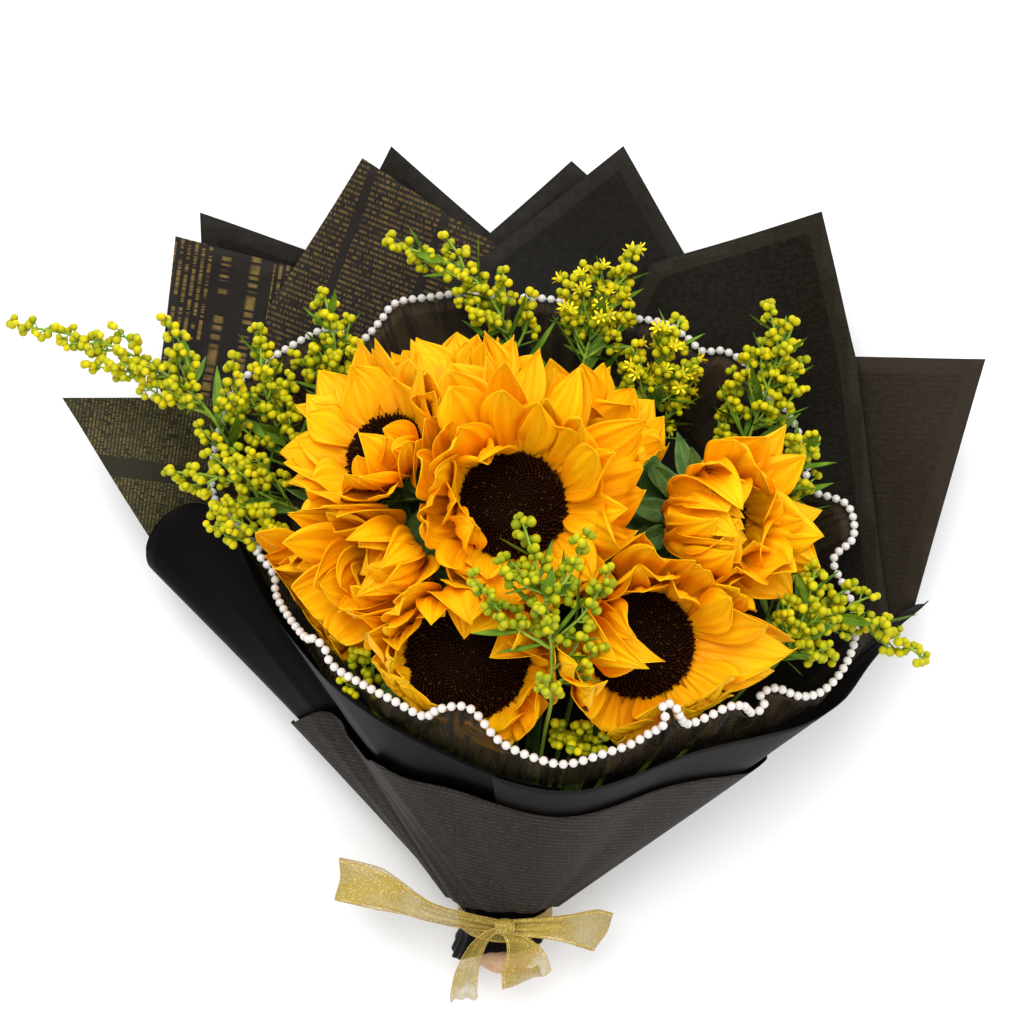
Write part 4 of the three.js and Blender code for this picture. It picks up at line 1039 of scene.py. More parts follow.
# ---------------------------------------------------------------- stems in the tie
# flowering is the length with buds, at the end of the route, and twig the length of a twig. A
# shoot has its place as a share of that length, its side (1 for left, -1 for right) and its
# length. ripe is how yellow the buds are, opened the share of them that have opened, and spread
# how far the shoots stand out. first_leaf leaves out the leaves below it.
SPRAYS = [
    dict(name="left_tip", flowering=150, twig=15,
         route=[(-150, 24, 58), (-172, 62, 80), (-217, 90, 96), (-268, 101, 100)],
         shoots=[(0.06, -1, 52), (0.2, 1, 50), (0.3, -1, 46), (0.46, 1, 36)]),
    dict(name="left_inner", flowering=80, twig=14,
         route=[(-119, 24, 52), (-131, 51, 70), (-137, 78, 78), (-137, 100, 80)],
         shoots=[(0.02, 1, 42), (0.22, -1, 36)]),
    dict(name="left_up", flowering=70, twig=14,
         route=[(-82, 46, 38), (-96, 76, 56), (-99, 100, 62), (-104, 121, 63)],
         shoots=[(0.05, -1, 38), (0.2, 1, 34)]),
    dict(name="left_low", flowering=78, twig=16,
         route=[(-104, -8, 64), (-128, 6, 82), (-155, 18, 90), (-186, 22, 92)],
         shoots=[(0.1, -1, 38), (0.3, -1, 32), (0.2, 1, 34)]),
    dict(name="top_arch", flowering=105, twig=13,
         route=[(5, 70, 40), (-2, 100, 54), (-22, 130, 62), (-68, 150, 62)],
         shoots=[(0.05, -1, 34), (0.16, 1, 36)]),
    dict(name="top_right", flowering=75, twig=15, opened=0.3,
         route=[(38, 74, 42), (46, 104, 54), (58, 128, 62), (69, 146, 62)],
         shoots=[(0.06, -1, 40), (0.12, 1, 44), (0.3, 1, 34)]),
    dict(name="upper_right", flowering=60, twig=16, opened=0.25,
         route=[(74, 52, 48), (82, 76, 62), (88, 92, 70), (92, 106, 72)],
         shoots=[(-0.25, -1, 46), (-0.1, 1, 40), (0.05, -1, 40), (0.1, 1, 36)]),
    dict(name="right_up", flowering=75, twig=16,
         route=[(125, 24, 50), (137, 58, 66), (146, 89, 74), (140, 113, 76)],
         shoots=[(-0.35, 1, 46), (-0.1, 1, 42), (0.05, -1, 36), (0.18, 1, 34),
                 (0.34, -1, 26)]),
    dict(name="right_mid", flowering=50, twig=13,
         route=[(137, -4, 60), (149, 17, 78), (156, 28, 88), (164, 41, 92)],
         shoots=[(0.05, -1, 28)]),
    dict(name="right_low", flowering=100, twig=15,
         route=[(136, -60, 90), (153, -58, 108), (188, -57, 118), (219, -78, 118)],
         shoots=[(0.02, 1, 40), (0.12, -1, 42), (0.3, 1, 32)]),
    dict(name="right_front", flowering=60, twig=13,
         route=[(128, -90, 112), (142, -76, 128), (152, -55, 138), (158, -30, 141)],
         shoots=[(0.1, -1, 30), (0.2, 1, 26)]),
    dict(name="front_mid", flowering=36, twig=11, ripe=0.42,
         route=[(30, -130, 118), (33, -124, 142), (34, -117, 158), (37, -108, 167)],
         shoots=[(0.15, 1, 22), (0.25, -1, 24), (0.3, 1, 20)]),
    dict(name="front_left", flowering=36, twig=9,
         route=[(-58, -104, 112), (-66, -94, 124), (-75, -84, 133), (-82, -74, 138)],
         shoots=[]),
    dict(name="centre_front", flowering=95, twig=21, ripe=0.27, spread=1.7, first_leaf=6,
         route=[(17, -112, 160), (20, -88, 197), (17, -46, 214), (5, -4, 216)],
         shoots=[(0.08, -1, 34), (0.3, 1, 54), (0.34, -1, 48), (0.56, -1, 38), (0.6, 1, 26)]),
    dict(name="left_side", flowering=46, twig=12,
         route=[(-118, -30, 66), (-130, -18, 84), (-144, -7, 92), (-160, 0, 95)],
         shoots=[(0.1, -1, 26), (0.25, 1, 26)]),
]
STEM_GAP = 1.2                # between two stems in the tie
STEM_TAIL = 17.0              # from the tie to the cut ends
NECK_DROP = 45.0              # from a bloom down to where its stem straightens
APEX_DROP = 55.0              # the stems aim at a point this far below the tie
PUSHES = 400


def tie_slots(aims):
    """Where each stem passes through the tie: side by side, in the order that they aim."""
    right, up = across_of(HEAD_AXIS)
    apex = TIE - HEAD_AXIS * APEX_DROP
    slots = []
    for target, radius in aims:
        ray = target - apex
        at = ray * APEX_DROP / ray.dot(HEAD_AXIS)
        slots.append([at.dot(right), at.dot(up), radius])
    for _ in range(PUSHES):
        for i, a in enumerate(slots):
            for b in slots[:i]:
                push_apart(a, b)
        for slot in slots:
            out = math.hypot(slot[0], slot[1])
            most = BUNDLE_RADIUS - slot[2]
            if out > most:
                slot[0] *= most / out
                slot[1] *= most / out
    return [TIE + right * x + up * y for x, y, _ in slots]


def push_apart(a, b):
    dx, dy = a[0] - b[0], a[1] - b[1]
    distance = math.hypot(dx, dy) or 1e-6
    lack = a[2] + b[2] + STEM_GAP - distance
    if lack > 0:
        push = lack * 0.5 / distance
        a[0] += dx * push
        a[1] += dy * push
        b[0] -= dx * push
        b[1] -= dy * push


def stem_line(slot, target, points):
    straight = [mix(slot, target, share) for share in (0, 0.12, 0.5, 0.86)]
    return Line([*straight, target, *points])


def stem_path(slot, line, steps):
    """The points of a stem from its cut end, through the tie, to the end of its line."""
    level = (slot - TIE).dot(HANDLE_AXIS)
    end = slot + HANDLE_AXIS * (STEM_TAIL - level)
    return np.vstack([end, line.spaced(np.linspace(0, 1, steps + 1))])


# ---------------------------------------------------------------- green of a bloom
CALYX_DEPTH = 13.0
# Each whorl of bracts: how many, drop below the plate, rise in degrees, length.
BRACT_WHORLS = [(11, 4.4, -32, 34), (10, 3.2, -14, 30)]
BRACT_WIDTH = 13
GREEN_THICKNESS = 0.5
# Heading in degrees and width of the leaves that show.
LEAVES = {"centre": [(20, 46), (214, 42), (236, 38)], "right": [(158, 46), (196, 50), (232, 46)],
          "left": [(200, 44), (300, 40)], "back_right": [(330, 44), (40, 40)],
          "front_left": [(100, 34)], "far_left": [(120, 36)], "low_left": [(30, 34)]}


def green_of(bloom, slot, seed):
    """Stem, the swelling below the plate, two whorls of bracts and the leaves."""
    draw = random.Random(seed + 40)
    below = lambda distance: bloom["centre"] - bloom["normal"] * distance
    top = PLATE_THICKNESS + 0.4
    line = stem_line(slot, below(NECK_DROP), [below(NECK_DROP * 0.7), below(top + CALYX_DEPTH)])
    path = stem_path(slot, line, 40)
    radii = [STEM_RADIUS, *np.linspace(STEM_RADIUS, 3.9, len(path) - 1)]
    path = np.vstack([path, below(top + CALYX_DEPTH * 0.5), below(top), below(1.8)])
    radii += [bloom["disc"] * 0.6, bloom["plate"] - 5, bloom["plate"] - 6]
    shape = Shape()
    shape.tube(path, radii, 16, slot=1)
    for whorl, (count, drop, rise, long) in enumerate(BRACT_WHORLS):
        for k in range(count):
            azimuth = (k + 0.5 * whorl + 0.3 * draw.random()) / count * 2 * math.pi
            slope = math.radians(rise + draw.uniform(-6, 8))
            grid = blade_grid(bloom, azimuth, bloom["plate"] - 9, 2 - top - drop,
                              long * draw.uniform(0.8, 1.1), BRACT_WIDTH, slope, slope + 0.5,
                              rows=11, columns=7, twist=draw.uniform(-0.3, 0.3), wave=0.8,
                              fullest=0.35)
            shape.grid(grid[:, ::-1], tone=draw.random())
    for turn, wide in LEAVES.get(bloom["name"], []):
        grid = blade_grid(bloom, math.radians(turn), bloom["plate"] - 14, -26, wide + 24, wide,
                          math.radians(8), math.radians(-12), rows=17, columns=11, cup=0.12,
                          sway=draw.uniform(-8, 8), wave=2.4, phase=draw.uniform(0, 6),
                          fullest=0.42)
        shape.grid(grid[:, ::-1], tone=draw.random())
    piece = shape.piece("green_of_" + bloom["name"], [BLOOM_GREEN, STEM_GREEN])
    return dress(thicken(piece, GREEN_THICKNESS), "green_" + bloom["name"])


# ---------------------------------------------------------------- goldenrod
LEAF_ROOM = 9.0               # between a leaf's tip and the wrap
RIM_TOP = 182.0               # above this nothing meets the wrap
SHOOT_SPACING = 14            # mm of flowering length for each small shoot
LEAVES_OF_SPRAY = 11


def bud_tree():
    tree = Tree("buds on stalks")
    radius = tree.size("Bud radius")
    ball = tree.node("GeometryNodeMeshIcoSphere")
    ball.inputs["Subdivisions"].default_value = 2
    tree.link(radius, ball.inputs["Radius"])
    place = tree.node("GeometryNodeInputPosition")
    parts = tree.node("ShaderNodeSeparateXYZ")
    tree.link(place.outputs[0], parts.inputs[0])
    height = tree.math("DIVIDE", parts.outputs["Z"], radius)
    tree.set_on_points(tree.start.outputs["Geometry"],
                       tree.with_tip(ball.outputs["Mesh"], height), BUD)
    return tree


class Spray:
    """A stem of goldenrod: side shoots, short twigs set with buds, and narrow leaves."""

    def __init__(self, seed, ripe, opened, spread):
        self.draw = random.Random(seed + 90)
        self.green = Shape()
        self.buds = []
        self.ripe = ripe
        self.opened = opened
        self.spread = spread

    def bud(self, at, lean, share):
        """Notes a bud, with how ripe it is, and opens a few of them."""
        size = self.draw.uniform(0.8, 1.12) * mix(1.0, 0.88, share)
        self.buds.append((at, lean, size, clamp01(self.draw.gauss(self.ripe, 0.17))))
        if self.draw.random() < self.opened:
            self.star(at, lean)

    def star(self, at, lean):
        """An open floret: small rays round a bud."""
        first, second = across_of(lean)
        for turn in np.arange(6) * math.pi / 3 + self.draw.random():
            away = spoke(first, second, turn)
            side = np.cross(lean, away)
            root = at + lean * 0.8 + away * 1.2
            tip = at + lean * 2.6 + away * 4.4
            middle = (root + tip) / 2 + lean * 0.3
            rows = np.array([[root - side * 0.4, root + side * 0.4],
                             [middle - side * 0.85, middle + side * 0.85],
                             [tip - side * 0.3, tip + side * 0.3]])
            self.green.grid(rows, self.draw.random(), slot=2)

    def twig(self, start, direction, out, length, radius):
        """A short side twig with a bud at its end and more on small stalks along it."""
        lean = unit(direction * 0.9 + out)
        end = start + lean * length
        self.green.tube([start, (start + end) / 2 - direction * 0.05 * length, end],
                        [radius, radius * 0.8, 0.4], 4, self.draw.random())
        first, second = across_of(lean)
        count = 2 + int(length / 3.3)
        for k in range(count):
            share = 1.0 if k == 0 else self.draw.uniform(0.35, 1.0)
            away = spoke(first, second, k * GOLDEN_ANGLE + self.draw.random())
            reach = 0.0 if k == 0 else self.draw.uniform(2.2, 3.6)
            joint = mix(start, end, share)
            at = joint + away * reach + lean * 1.1
            if reach:
                self.green.tube([joint, at], [0.35, 0.3], 4, 0.5)
            self.bud(at, unit(lean + away * 0.7), share)

    def plume(self, line, flowering, twig, spacing, tip):
        """Sets twigs close together along the last part of a line."""
        length = line.length()
        count = max(3, int(flowering / spacing))
        for k in range(count):
            share = k / (count - 1)
            along = min(0.995, 1 - flowering / length * (1 - share))
            direction = line.heading(along)
            first, second = across_of(direction)
            out = spoke(first, second, k * GOLDEN_ANGLE)
            long = mix(twig, tip, share ** 1.3) * self.draw.uniform(0.75, 1.15)
            self.twig(line.spaced([along])[0], direction, out, long, mix(0.6, 0.45, share))

    def shoot(self, line, along, aside, length):
        """A side branch, thick with buds from its lower third up."""
        start = line.spaced([along])[0]
        direction = line.heading(along)
        aside = aside * self.spread
        middle = start + unit(direction * 0.8 + aside * 0.6) * length * 0.45
        end = middle + unit(direction * 0.9 + aside * 0.35) * length * 0.55
        shoot = Line([start, middle, end])
        path = shoot.spaced(np.linspace(0, 1, 8))
        self.green.tube(path, np.linspace(0.9, 0.5, 8), 6, 0.5)
        self.plume(shoot, length * 0.66, 6.4, 3.7, 2.8)
        for share in (0.1, 0.34):
            out = sideways(shoot, share, self.draw.uniform(0, 6))
            self.leaf(shoot.spaced([share])[0], shoot.heading(share), out,
                      length * self.draw.uniform(0.35, 0.5), length * 0.12)

    def leaf(self, start, direction, out, length, width):
        """A narrow leaf, left out where it would meet the wrap."""
        lean = unit(direction * 1.3 + out)
        if not inside_wrap(start + lean * length):
            return
        side = unit(np.cross(lean, out))
        t = np.linspace(0, 1, 9)
        middle = start + np.outer(length * t, lean) + np.outer(0.14 * length * t ** 2, out)
        half = width / 2 * blade_width(t, 0.45)
        s = np.linspace(-1, 1, 5)[None, :]
        face = np.cross(side, lean)
        rows = (middle[:, None, :] + (half[:, None] * s)[..., None] * side
                + (0.25 * half[:, None] * np.abs(s))[..., None] * face)
        for offset, order in ((0.15, 1), (-0.15, -1)):
            self.green.grid((rows + face * offset)[:, ::order], self.draw.random(), slot=1)


def inside_wrap(point):
    """Whether a point is above the wrap's rim or keeps clear of its front."""
    if point[2] > RIM_TOP:
        return True
    for share in np.arange(0.2, 0.85, 0.05):
        through, normal = wrap_frame(share, 0.9)
        if (point - through).dot(normal) > -LEAF_ROOM:
            return False
    return True


def sideways(line, along, turn):
    """A direction off a line: at turn 0 to its left as the camera sees it, at pi to its right."""
    direction = line.heading(along)
    left = unit(np.cross(np.array([0.0, 0.0, 1.0]), direction) + 1e-6)
    over = np.cross(direction, left)
    return unit(spoke(left, over * 0.5, turn))


def spray_of(spray, slot, seed, buds):
    """One spray: a stem with the shoots that are placed one by one, then small ones and leaves."""
    points = [np.array(point, float) for point in spray["route"]]
    line = stem_line(slot, points[0], points[1:])
    length = line.length()
    steps = int(length / 9)
    made = Spray(seed, spray.get("ripe", 0.55), spray.get("opened", 0.0),
                 spray.get("spread", 1.0))
    path = stem_path(slot, line, steps)
    radii = [SPRAY_STEM_RADIUS, *np.linspace(SPRAY_STEM_RADIUS, 0.7, steps + 1)]
    made.green.tube(path, radii, 8, 0.4)
    flowering = spray["flowering"]
    made.plume(line, flowering * 0.7, spray["twig"] * 0.55, 4.2, 3.4)
    for share, side, long in spray["shoots"]:
        along = 1 - flowering / length * (1 - share)
        turn = (0.0 if side > 0 else math.pi) + made.draw.uniform(-0.4, 0.4)
        made.shoot(line, along, sideways(line, along, turn), long)
    count = int(flowering / SHOOT_SPACING)
    for k in range(count):
        share = (k + 0.5) / count * 0.72
        along = 1 - flowering / length * (1 - share)
        aside = sideways(line, along, k * 2.1 + seed)
        made.shoot(line, along, aside, mix(27, 12, share) * made.draw.uniform(0.85, 1.15))
    for k in range(spray.get("first_leaf", 0), LEAVES_OF_SPRAY):
        share = k / (LEAVES_OF_SPRAY - 1)
        along = 1 - flowering * mix(1.3, 0.2, share) / length
        aside = sideways(line, along, k * 2.4 + seed)
        made.leaf(line.spaced([along])[0], line.heading(along), aside, mix(40, 18, share),
                  mix(10, 5, share))
    piece = made.green.piece("spray_of_goldenrod_" + spray["name"],
                             [TWIG_GREEN, LEAF_GREEN, STAR])
    at, leans, sizes, tones = (list(column) for column in zip(*made.buds))
    seeds = point_piece("buds_" + spray["name"], at, leans, sizes, tone=tones)
    seeds.data = buds.grow(seeds, {"Bud radius": BUD_RADIUS * MM})
    return dress(join([piece, seeds]), "spray_" + spray["name"])


def flowers():
    for bloom in BLOOMS:
        bloom["centre"] = np.array(bloom["at"], float)
        bloom["normal"] = unit(np.array(bloom["face"], float))
        bloom["plate"] = bloom["disc"] + PLATE_LIP
    for bloom in BLOOMS:
        bloom["planes"] = planes_round(bloom)
    aims = [(bloom["centre"] - bloom["normal"] * NECK_DROP, STEM_RADIUS) for bloom in BLOOMS]
    aims += [(np.array(spray["route"][0], float), SPRAY_STEM_RADIUS) for spray in SPRAYS]
    slots = tie_slots(aims)
    florets = floret_tree()
    for seed, bloom in enumerate(BLOOMS, 1):
        petals_of(bloom, seed)
        disc_of(bloom, seed, florets)
        green_of(bloom, slots[seed - 1], seed)
    buds = bud_tree()
    for seed, spray in enumerate(SPRAYS, 1):
        spray_of(spray, slots[len(BLOOMS) + seed - 1], seed, buds)


# ---------------------------------------------------------------- back sheets
# From the lowest layer up: each sheet's corners, from the left of its root to the right.
BACK_SHEETS = [
    ("e", [(-128, 100), (-69, 209), (40, 117)]),
    ("c", [(-176, 20), (-176, 169), (-30, 122)]),
    ("f", [(-60, 100), (-45, 133), (34, 201), (80, 160), (100, 60)]),
    ("b", [(-186, 2), (-200, 75), (-189, 155), (-60, 125)]),
    ("d", [(-150, 40), (-139, 117), (-85, 201), (10, 142)]),
    ("i", [(60, 80), (186, 88), (260, 84), (225, -52)]),
    ("g", [(-70, 60), (-35, 133), (63, 207), (118, 115), (120, 20)]),
    ("a", [(-199, -22), (-248, 63), (-110, 66)]),
    ("h", [(40, 60), (79, 142), (172, 167), (193, 85), (199, 35), (211, -60), (177, -99),
           (140, -125), (84, -160)]),
]
ROOT_Y = -194.0
ROOT_HALF_WIDTH = 25.0
SHEET_CELL = 8.0
FLAT_HALF_WIDTH = 110.0       # the sheets lie flat inside this oval
FLAT_MIDDLE_Y = 20.0
FLAT_UPWARD = 120.0
FLAT_DOWNWARD = 225.0


def past_flat(x, y):
    """How far a place is outside the flat oval, as a share of the oval's radius there."""
    reach = FLAT_UPWARD if y > FLAT_MIDDLE_Y else FLAT_DOWNWARD
    return max(0.0, math.hypot(x / FLAT_HALF_WIDTH, (y - FLAT_MIDDLE_Y) / reach) - 1)


def back_height(x, y, layer):
    out = past_flat(x, y)
    return 30 * out ** 1.7 + layer * (SHEET_PITCH + 1.5 * out)


def ripple(x, y):
    """Slow waves that all the back sheets share, none where the bunch rests."""
    waves = math.sin(x / 17 + y / 43) + 0.7 * math.sin(y / 19 - x / 31)
    return 3.0 * min(1.0, past_flat(x, y)) * waves


def rim_distance(x, y, outline):
    """How far a place is inside the free edges of a sheet."""
    nearest = 1e9
    for (ax, ay), (bx, by) in zip(outline[1:-1], outline[2:-1]):
        long = math.hypot(bx - ax, by - ay)
        nearest = min(nearest, abs((bx - ax) * (y - ay) - (by - ay) * (x - ax)) / long)
    return nearest


def back_sheet(name, layer, corners, finish):
    """A sheet cut into small cells, bent up round the flat oval."""
    outline = [(-ROOT_HALF_WIDTH, ROOT_Y), *corners, (ROOT_HALF_WIDTH, ROOT_Y)]
    work = bmesh.new()
    work.faces.new([work.verts.new((x, y, 0)) for x, y in outline])
    for normal, low, high in (((1, 0, 0), -260, 260), ((0, 1, 0), -200, 210)):
        for cut in np.arange(low, high, SHEET_CELL):
            through = [cut * share for share in normal]
            everything = [*work.verts, *work.edges, *work.faces]
            bmesh.ops.bisect_plane(work, geom=everything, plane_co=through, plane_no=normal)
    tones = []
    for vertex in work.verts:
        x, y = vertex.co[:2]
        tones.append(rim_distance(x, y, outline))
        level = back_height(x, y, layer) + ripple(x, y) + 0.5
        vertex.co = (x * MM, y * MM, level * MM)
    mesh = bpy.data.meshes.new("back_sheet_" + name)
    bmesh.ops.recalc_face_normals(work, faces=work.faces)
    work.to_mesh(mesh)
    work.free()
    keep(mesh, "tone", tones)
    mesh.materials.append(finish)
    mesh.polygons.foreach_set("use_smooth", [True] * len(mesh.polygons))
    piece = thicken(placed(mesh.name, mesh), PAPER_THICKNESS)
    return dress(piece, "paper_back_" + name)


def back_sheets():
    finishes = {
        "a": paper_finish("paper_olive_print", (0.02, 0.018, 0.011), (0.02, 0.018, 0.011),
                          OLIVE_INK, dense_rows, math.radians(-82)),
        "b": paper_finish("paper_gold_print", (0.016, 0.013, 0.011), (0.011, 0.009, 0.008),
                          GOLD_INK, gold_columns, math.radians(-80)),
        "d": paper_finish("paper_gold_rows", (0.016, 0.013, 0.01), (0.011, 0.009, 0.008),
                          tuple(0.7 * c for c in GOLD_INK), gold_rows, math.radians(21)),
        "i": paper_finish("paper_brown_grey", (0.024, 0.0185, 0.0125), (0.0145, 0.0108, 0.0072),
                          (0.026, 0.02, 0.014), faint_rows, math.radians(2), shine=0.09),
        "h": paper_finish("paper_faint_print", (0.018, 0.015, 0.0095), (0.0042, 0.0034, 0.002),
                          (0.012, 0.0098, 0.0062), faint_rows, math.radians(-14), shine=0.09),
    }
    for layer, (name, corners) in enumerate(BACK_SHEETS):
        back_sheet(name, layer, corners, finishes.get(name, PLAIN_PAPER))


# ---------------------------------------------------------------- pearls and net
# The trimmed edge of the net, point by point round the bunch from its top, to the left first.
PEARL_ROUTE = [
    (0, 122, 28), (-29, 124, 28), (-46, 122, 28), (-67, 118, 28), (-75, 108, 28), (-88, 96, 29),
    (-102, 104, 31), (-121, 96, 33), (-154, 72, 40), (-160, 60, 42), (-168, 24, 46),
    (-166, 8, 52), (-148, -26, 84), (-138, -22, 92), (-128, -34, 98), (-131, -47, 104),
    (-113, -70, 132), (-104, -66, 138), (-98, -70, 141), (-96, -80, 142), (-80, -92, 154),
    (-62, -99, 162), (-47, -108, 168), (-37, -100, 173), (-22, -99, 177), (-6, -116, 178),
    (14, -130, 180), (27, -135, 181), (50, -127, 181), (65, -126, 181), (73, -120, 182),
    (77, -106, 184), (76, -96, 183), (82, -98, 182), (88, -109, 178), (96, -119, 170),
    (106, -113, 166), (112, -102, 162), (121, -103, 156), (128, -111, 148), (132, -102, 144),
    (129, -96, 141), (137, -92, 136), (152, -97, 128), (164, -95, 120), (176, -84, 112),
    (184, -68, 102), (184, -48, 86), (176, -26, 76), (188, -14, 68), (186, 4, 58), (164, 14, 50),
    (166, 28, 46), (153, 58, 42), (139, 68, 38), (133, 82, 36), (120, 91, 34), (108, 91, 31),
    (99, 99, 30), (86, 107, 29), (50, 112, 28), (26, 120, 28),
]
PEARL_ROOM = 6.0              # from the middle of a pearl to the inside of the wrap
THREAD_RADIUS = 0.45
NET_INSIDE = 5.0              # the net lies this far inside the wrap's front
NET_THICKNESS = 0.2
NET_STEPS = 720
OPEN_END = 0.994              # the string and the net stop just short of where they start


def wrap_ring(t):
    """Points round the front of the wrap, and their normals, to find the nearest in."""
    points, normals = zip(*[wrap_frame(share, t) for share in np.arange(0.14, 0.9, 0.01)])
    return np.array(points), np.array(normals)


def nearest_on(ring, at):
    k = int(np.argmin(np.linalg.norm(ring[0] - at, axis=1)))
    return ring[0][k], ring[1][k]


def pearl_line():
    """The line of the pearls, moved inside the wrap where it would touch it."""
    ring = wrap_ring(1.0)
    points = []
    for point in PEARL_ROUTE:
        at = np.array(point, float)
        near, normal = nearest_on(ring, at)
        depth = (at - near).dot(normal)
        if np.linalg.norm(near - at) < 30 and depth > -PEARL_ROOM:
            at = at - normal * (PEARL_ROOM + depth)
        points.append(at)
    return Line(points, closed=True)


def pearls(line):
    tree = Tree("pearls on a string")
    radius = tree.size("Pearl radius")
    pitch = tree.size("Pearl pitch")
    curve = tree.node("GeometryNodeMeshToCurve")
    even = tree.node("GeometryNodeResampleCurve", mode="LENGTH")
    ball = tree.node("GeometryNodeMeshIcoSphere")
    ball.inputs["Subdivisions"].default_value = 3
    tree.link(tree.start.outputs["Geometry"], curve.inputs["Mesh"])
    tree.link(curve.outputs["Curve"], even.inputs["Curve"])
    tree.link(pitch, even.inputs["Length"])
    tree.link(radius, ball.inputs["Radius"])
    tree.set_on_points(even.outputs["Curve"], ball.outputs["Mesh"], PEARL, turned=False)
    path = line.spaced(np.linspace(0, OPEN_END, 500))
    guide = bpy.data.meshes.new("pearl_guide")
    guide.from_pydata((path * MM).tolist(), [(k, k + 1) for k in range(len(path) - 1)], [])
    beads = placed("pearls_on_string", guide)
    beads.data = tree.grow(beads, {"Pearl radius": PEARL_RADIUS * MM,
                                   "Pearl pitch": PEARL_PITCH * MM})
    thread = Shape()
    thread.tube(path, [THREAD_RADIUS] * len(path), 5)
    string = thread.piece("pearl_thread", [PEARL])
    return dress(join([beads, string]), "pearl_string")


def net_foot(at, ring):
    """Where the net is tucked in: on the back sheets, or inside the front where it is high."""
    back = np.array([at[0] * 0.76, mix(-60, at[1], 0.74), 0.0])
    back[2] = back_height(back[0], back[1], len(BACK_SHEETS)) + 3
    point, normal = nearest_on(ring, at)
    return mix(back, point - normal * NET_INSIDE, clamp01((at[2] - 62) / 22))


def evened(points, reach):
    """An array of points, each the mean of its neighbours on both sides."""
    shares = np.ones(2 * reach + 1) / (2 * reach + 1)
    return np.stack([np.convolve(np.pad(points[:, k], reach, "edge"), shares, "valid")
                     for k in range(3)], axis=-1)


def net_ruffle(line):
    """The net from just below the pearls down to its foot, in two sizes of pleat."""
    ring = wrap_ring(0.93)
    edge = line.spaced(np.linspace(0, OPEN_END, NET_STEPS + 1))
    feet = evened(np.array([net_foot(at, ring) for at in edge]), 12)
    columns = []
    for k, (at, foot) in enumerate(zip(edge, feet)):
        along = unit(edge[min(NET_STEPS, k + 1)] - edge[max(0, k - 1)])
        way = foot - at
        way = way - along * way.dot(along)
        start = at + unit(way) * (PEARL_RADIUS + 0.8)
        across = np.cross(along, unit(way))
        ruffle = 2.0 * math.sin(k / 4.6) + 1.1 * math.sin(k / 1.9 + 1)
        column = []
        for t in np.linspace(0, 1, 8):
            swell = math.sin(math.pi * min(1.0, t * 1.15)) * ruffle
            column.append(mix(start, foot, t) + across * swell)
        columns.append(column)
    shape = Shape()
    shape.grid(np.array(columns).transpose(1, 0, 2))
    piece = thicken(shape.piece("net_lining", [NET]), NET_THICKNESS)
    dress(piece, "net_ruffle")
    return piece


# ---------------------------------------------------------------- foot, wad and ribbon
FOOT_BORE = BUNDLE_RADIUS + 3.1
FOOT_LENGTH = 35.0
FOOT_RISE = 10                # the foot starts this far above the tie


def round_stems(level, radius, angle):
    """A place round the stems, level mm below the tie."""
    right, up = across_of(HANDLE_AXIS)
    return TIE + HANDLE_AXIS * level + radius * spoke(right, up, angle)


def foot_of_paper():
    """The gathered foot: a pleated tube that opens out below the tie, longer at the left."""
    rows = []
    for t in np.linspace(0, 1, 15):
        row = []
        for angle in np.arange(96) * 2 * math.pi / 96:
            left = float(clamp01(-math.cos(angle))) ** 2
            long = FOOT_LENGTH * mix(0.6, 1.0, left)
            opening = clamp01((t - 0.7) / 0.3) * (1.5 + 5 * left + 1.2 * math.cos(5 * angle))
            pleat = mix(0.45, 1.3, t) * math.sin(17 * angle + 3 * t)
            radius = FOOT_BORE + 0.8 + opening + pleat * 0.6
            row.append(round_stems(t * (long + 7) - FOOT_RISE, radius, angle))
        rows.append(row)
    shape = Shape()
    shape.grid(np.array(rows), tone=FAR_FROM_RIM, wrapped=True)
    piece = thicken(shape.piece("foot_of_paper", [FRONT_PAPER]), PAPER_THICKNESS)
    return dress(piece, "paper_foot")


def wad_of_stem_ends():
    """A lumpy round wad that starts at the cut ends; its profile is radius and level."""
    profile = Line([(0.5, 0, 0), (14, 0.4, 0), (18.3, 5, 0), (18.6, 12, 0), (14, 18.5, 0),
                    (0.5, 21, 0)])
    right, up = across_of(HANDLE_AXIS)
    start = TIE + HANDLE_AXIS * (STEM_TAIL + 3.4)
    rows = []
    angles = np.arange(48) * 2 * math.pi / 48
    for radius, level, _ in profile.spaced(np.linspace(0, 1, 26)):
        lump = 1 + 0.04 * np.sin(3 * angles + level / 4) + 0.03 * np.sin(7 * angles - level / 3)
        ring = circle(right, up, 48) * (radius * lump)[:, None]
        rows.append(start + HANDLE_AXIS * level + ring)
    shape = Shape()
    shape.grid(np.array(rows), wrapped=True)
    shape.cap(rows[0][::-1])
    shape.cap(rows[-1])
    return dress(shape.piece("wad_of_stem_ends", [WAD]), "stem_wad")


def ribbon_strip(shape, points, across, widths, steps=40):
    """A length of ribbon through points, with the way that it is wide at each, and its widths."""
    line = Line(points)
    cross = Line(across)
    places = np.linspace(0, len(widths) - 1, steps + 1)
    halves = np.interp(places, range(len(widths)), widths) / 2
    rows = []
    for i, half in enumerate(halves):
        share = i / steps
        side = unit(cross.at(share))
        at = line.at(share)
        ahead = line.at(min(1.0, share + 0.01)) - line.at(max(0.0, share - 0.01))
        face = unit(np.cross(side, ahead))
        pinch = clamp01((RIBBON_WIDTH / 2 - half) / 8)
        row = []
        for s in np.linspace(-1, 1, 13):
            fold = pinch * 1.6 * math.sin(s * 7) + 0.9 * math.sin(s * 3 + share * 9)
            row.append(at + side * half * s + face * fold)
        rows.append(row)
    shape.grid(np.array(rows))


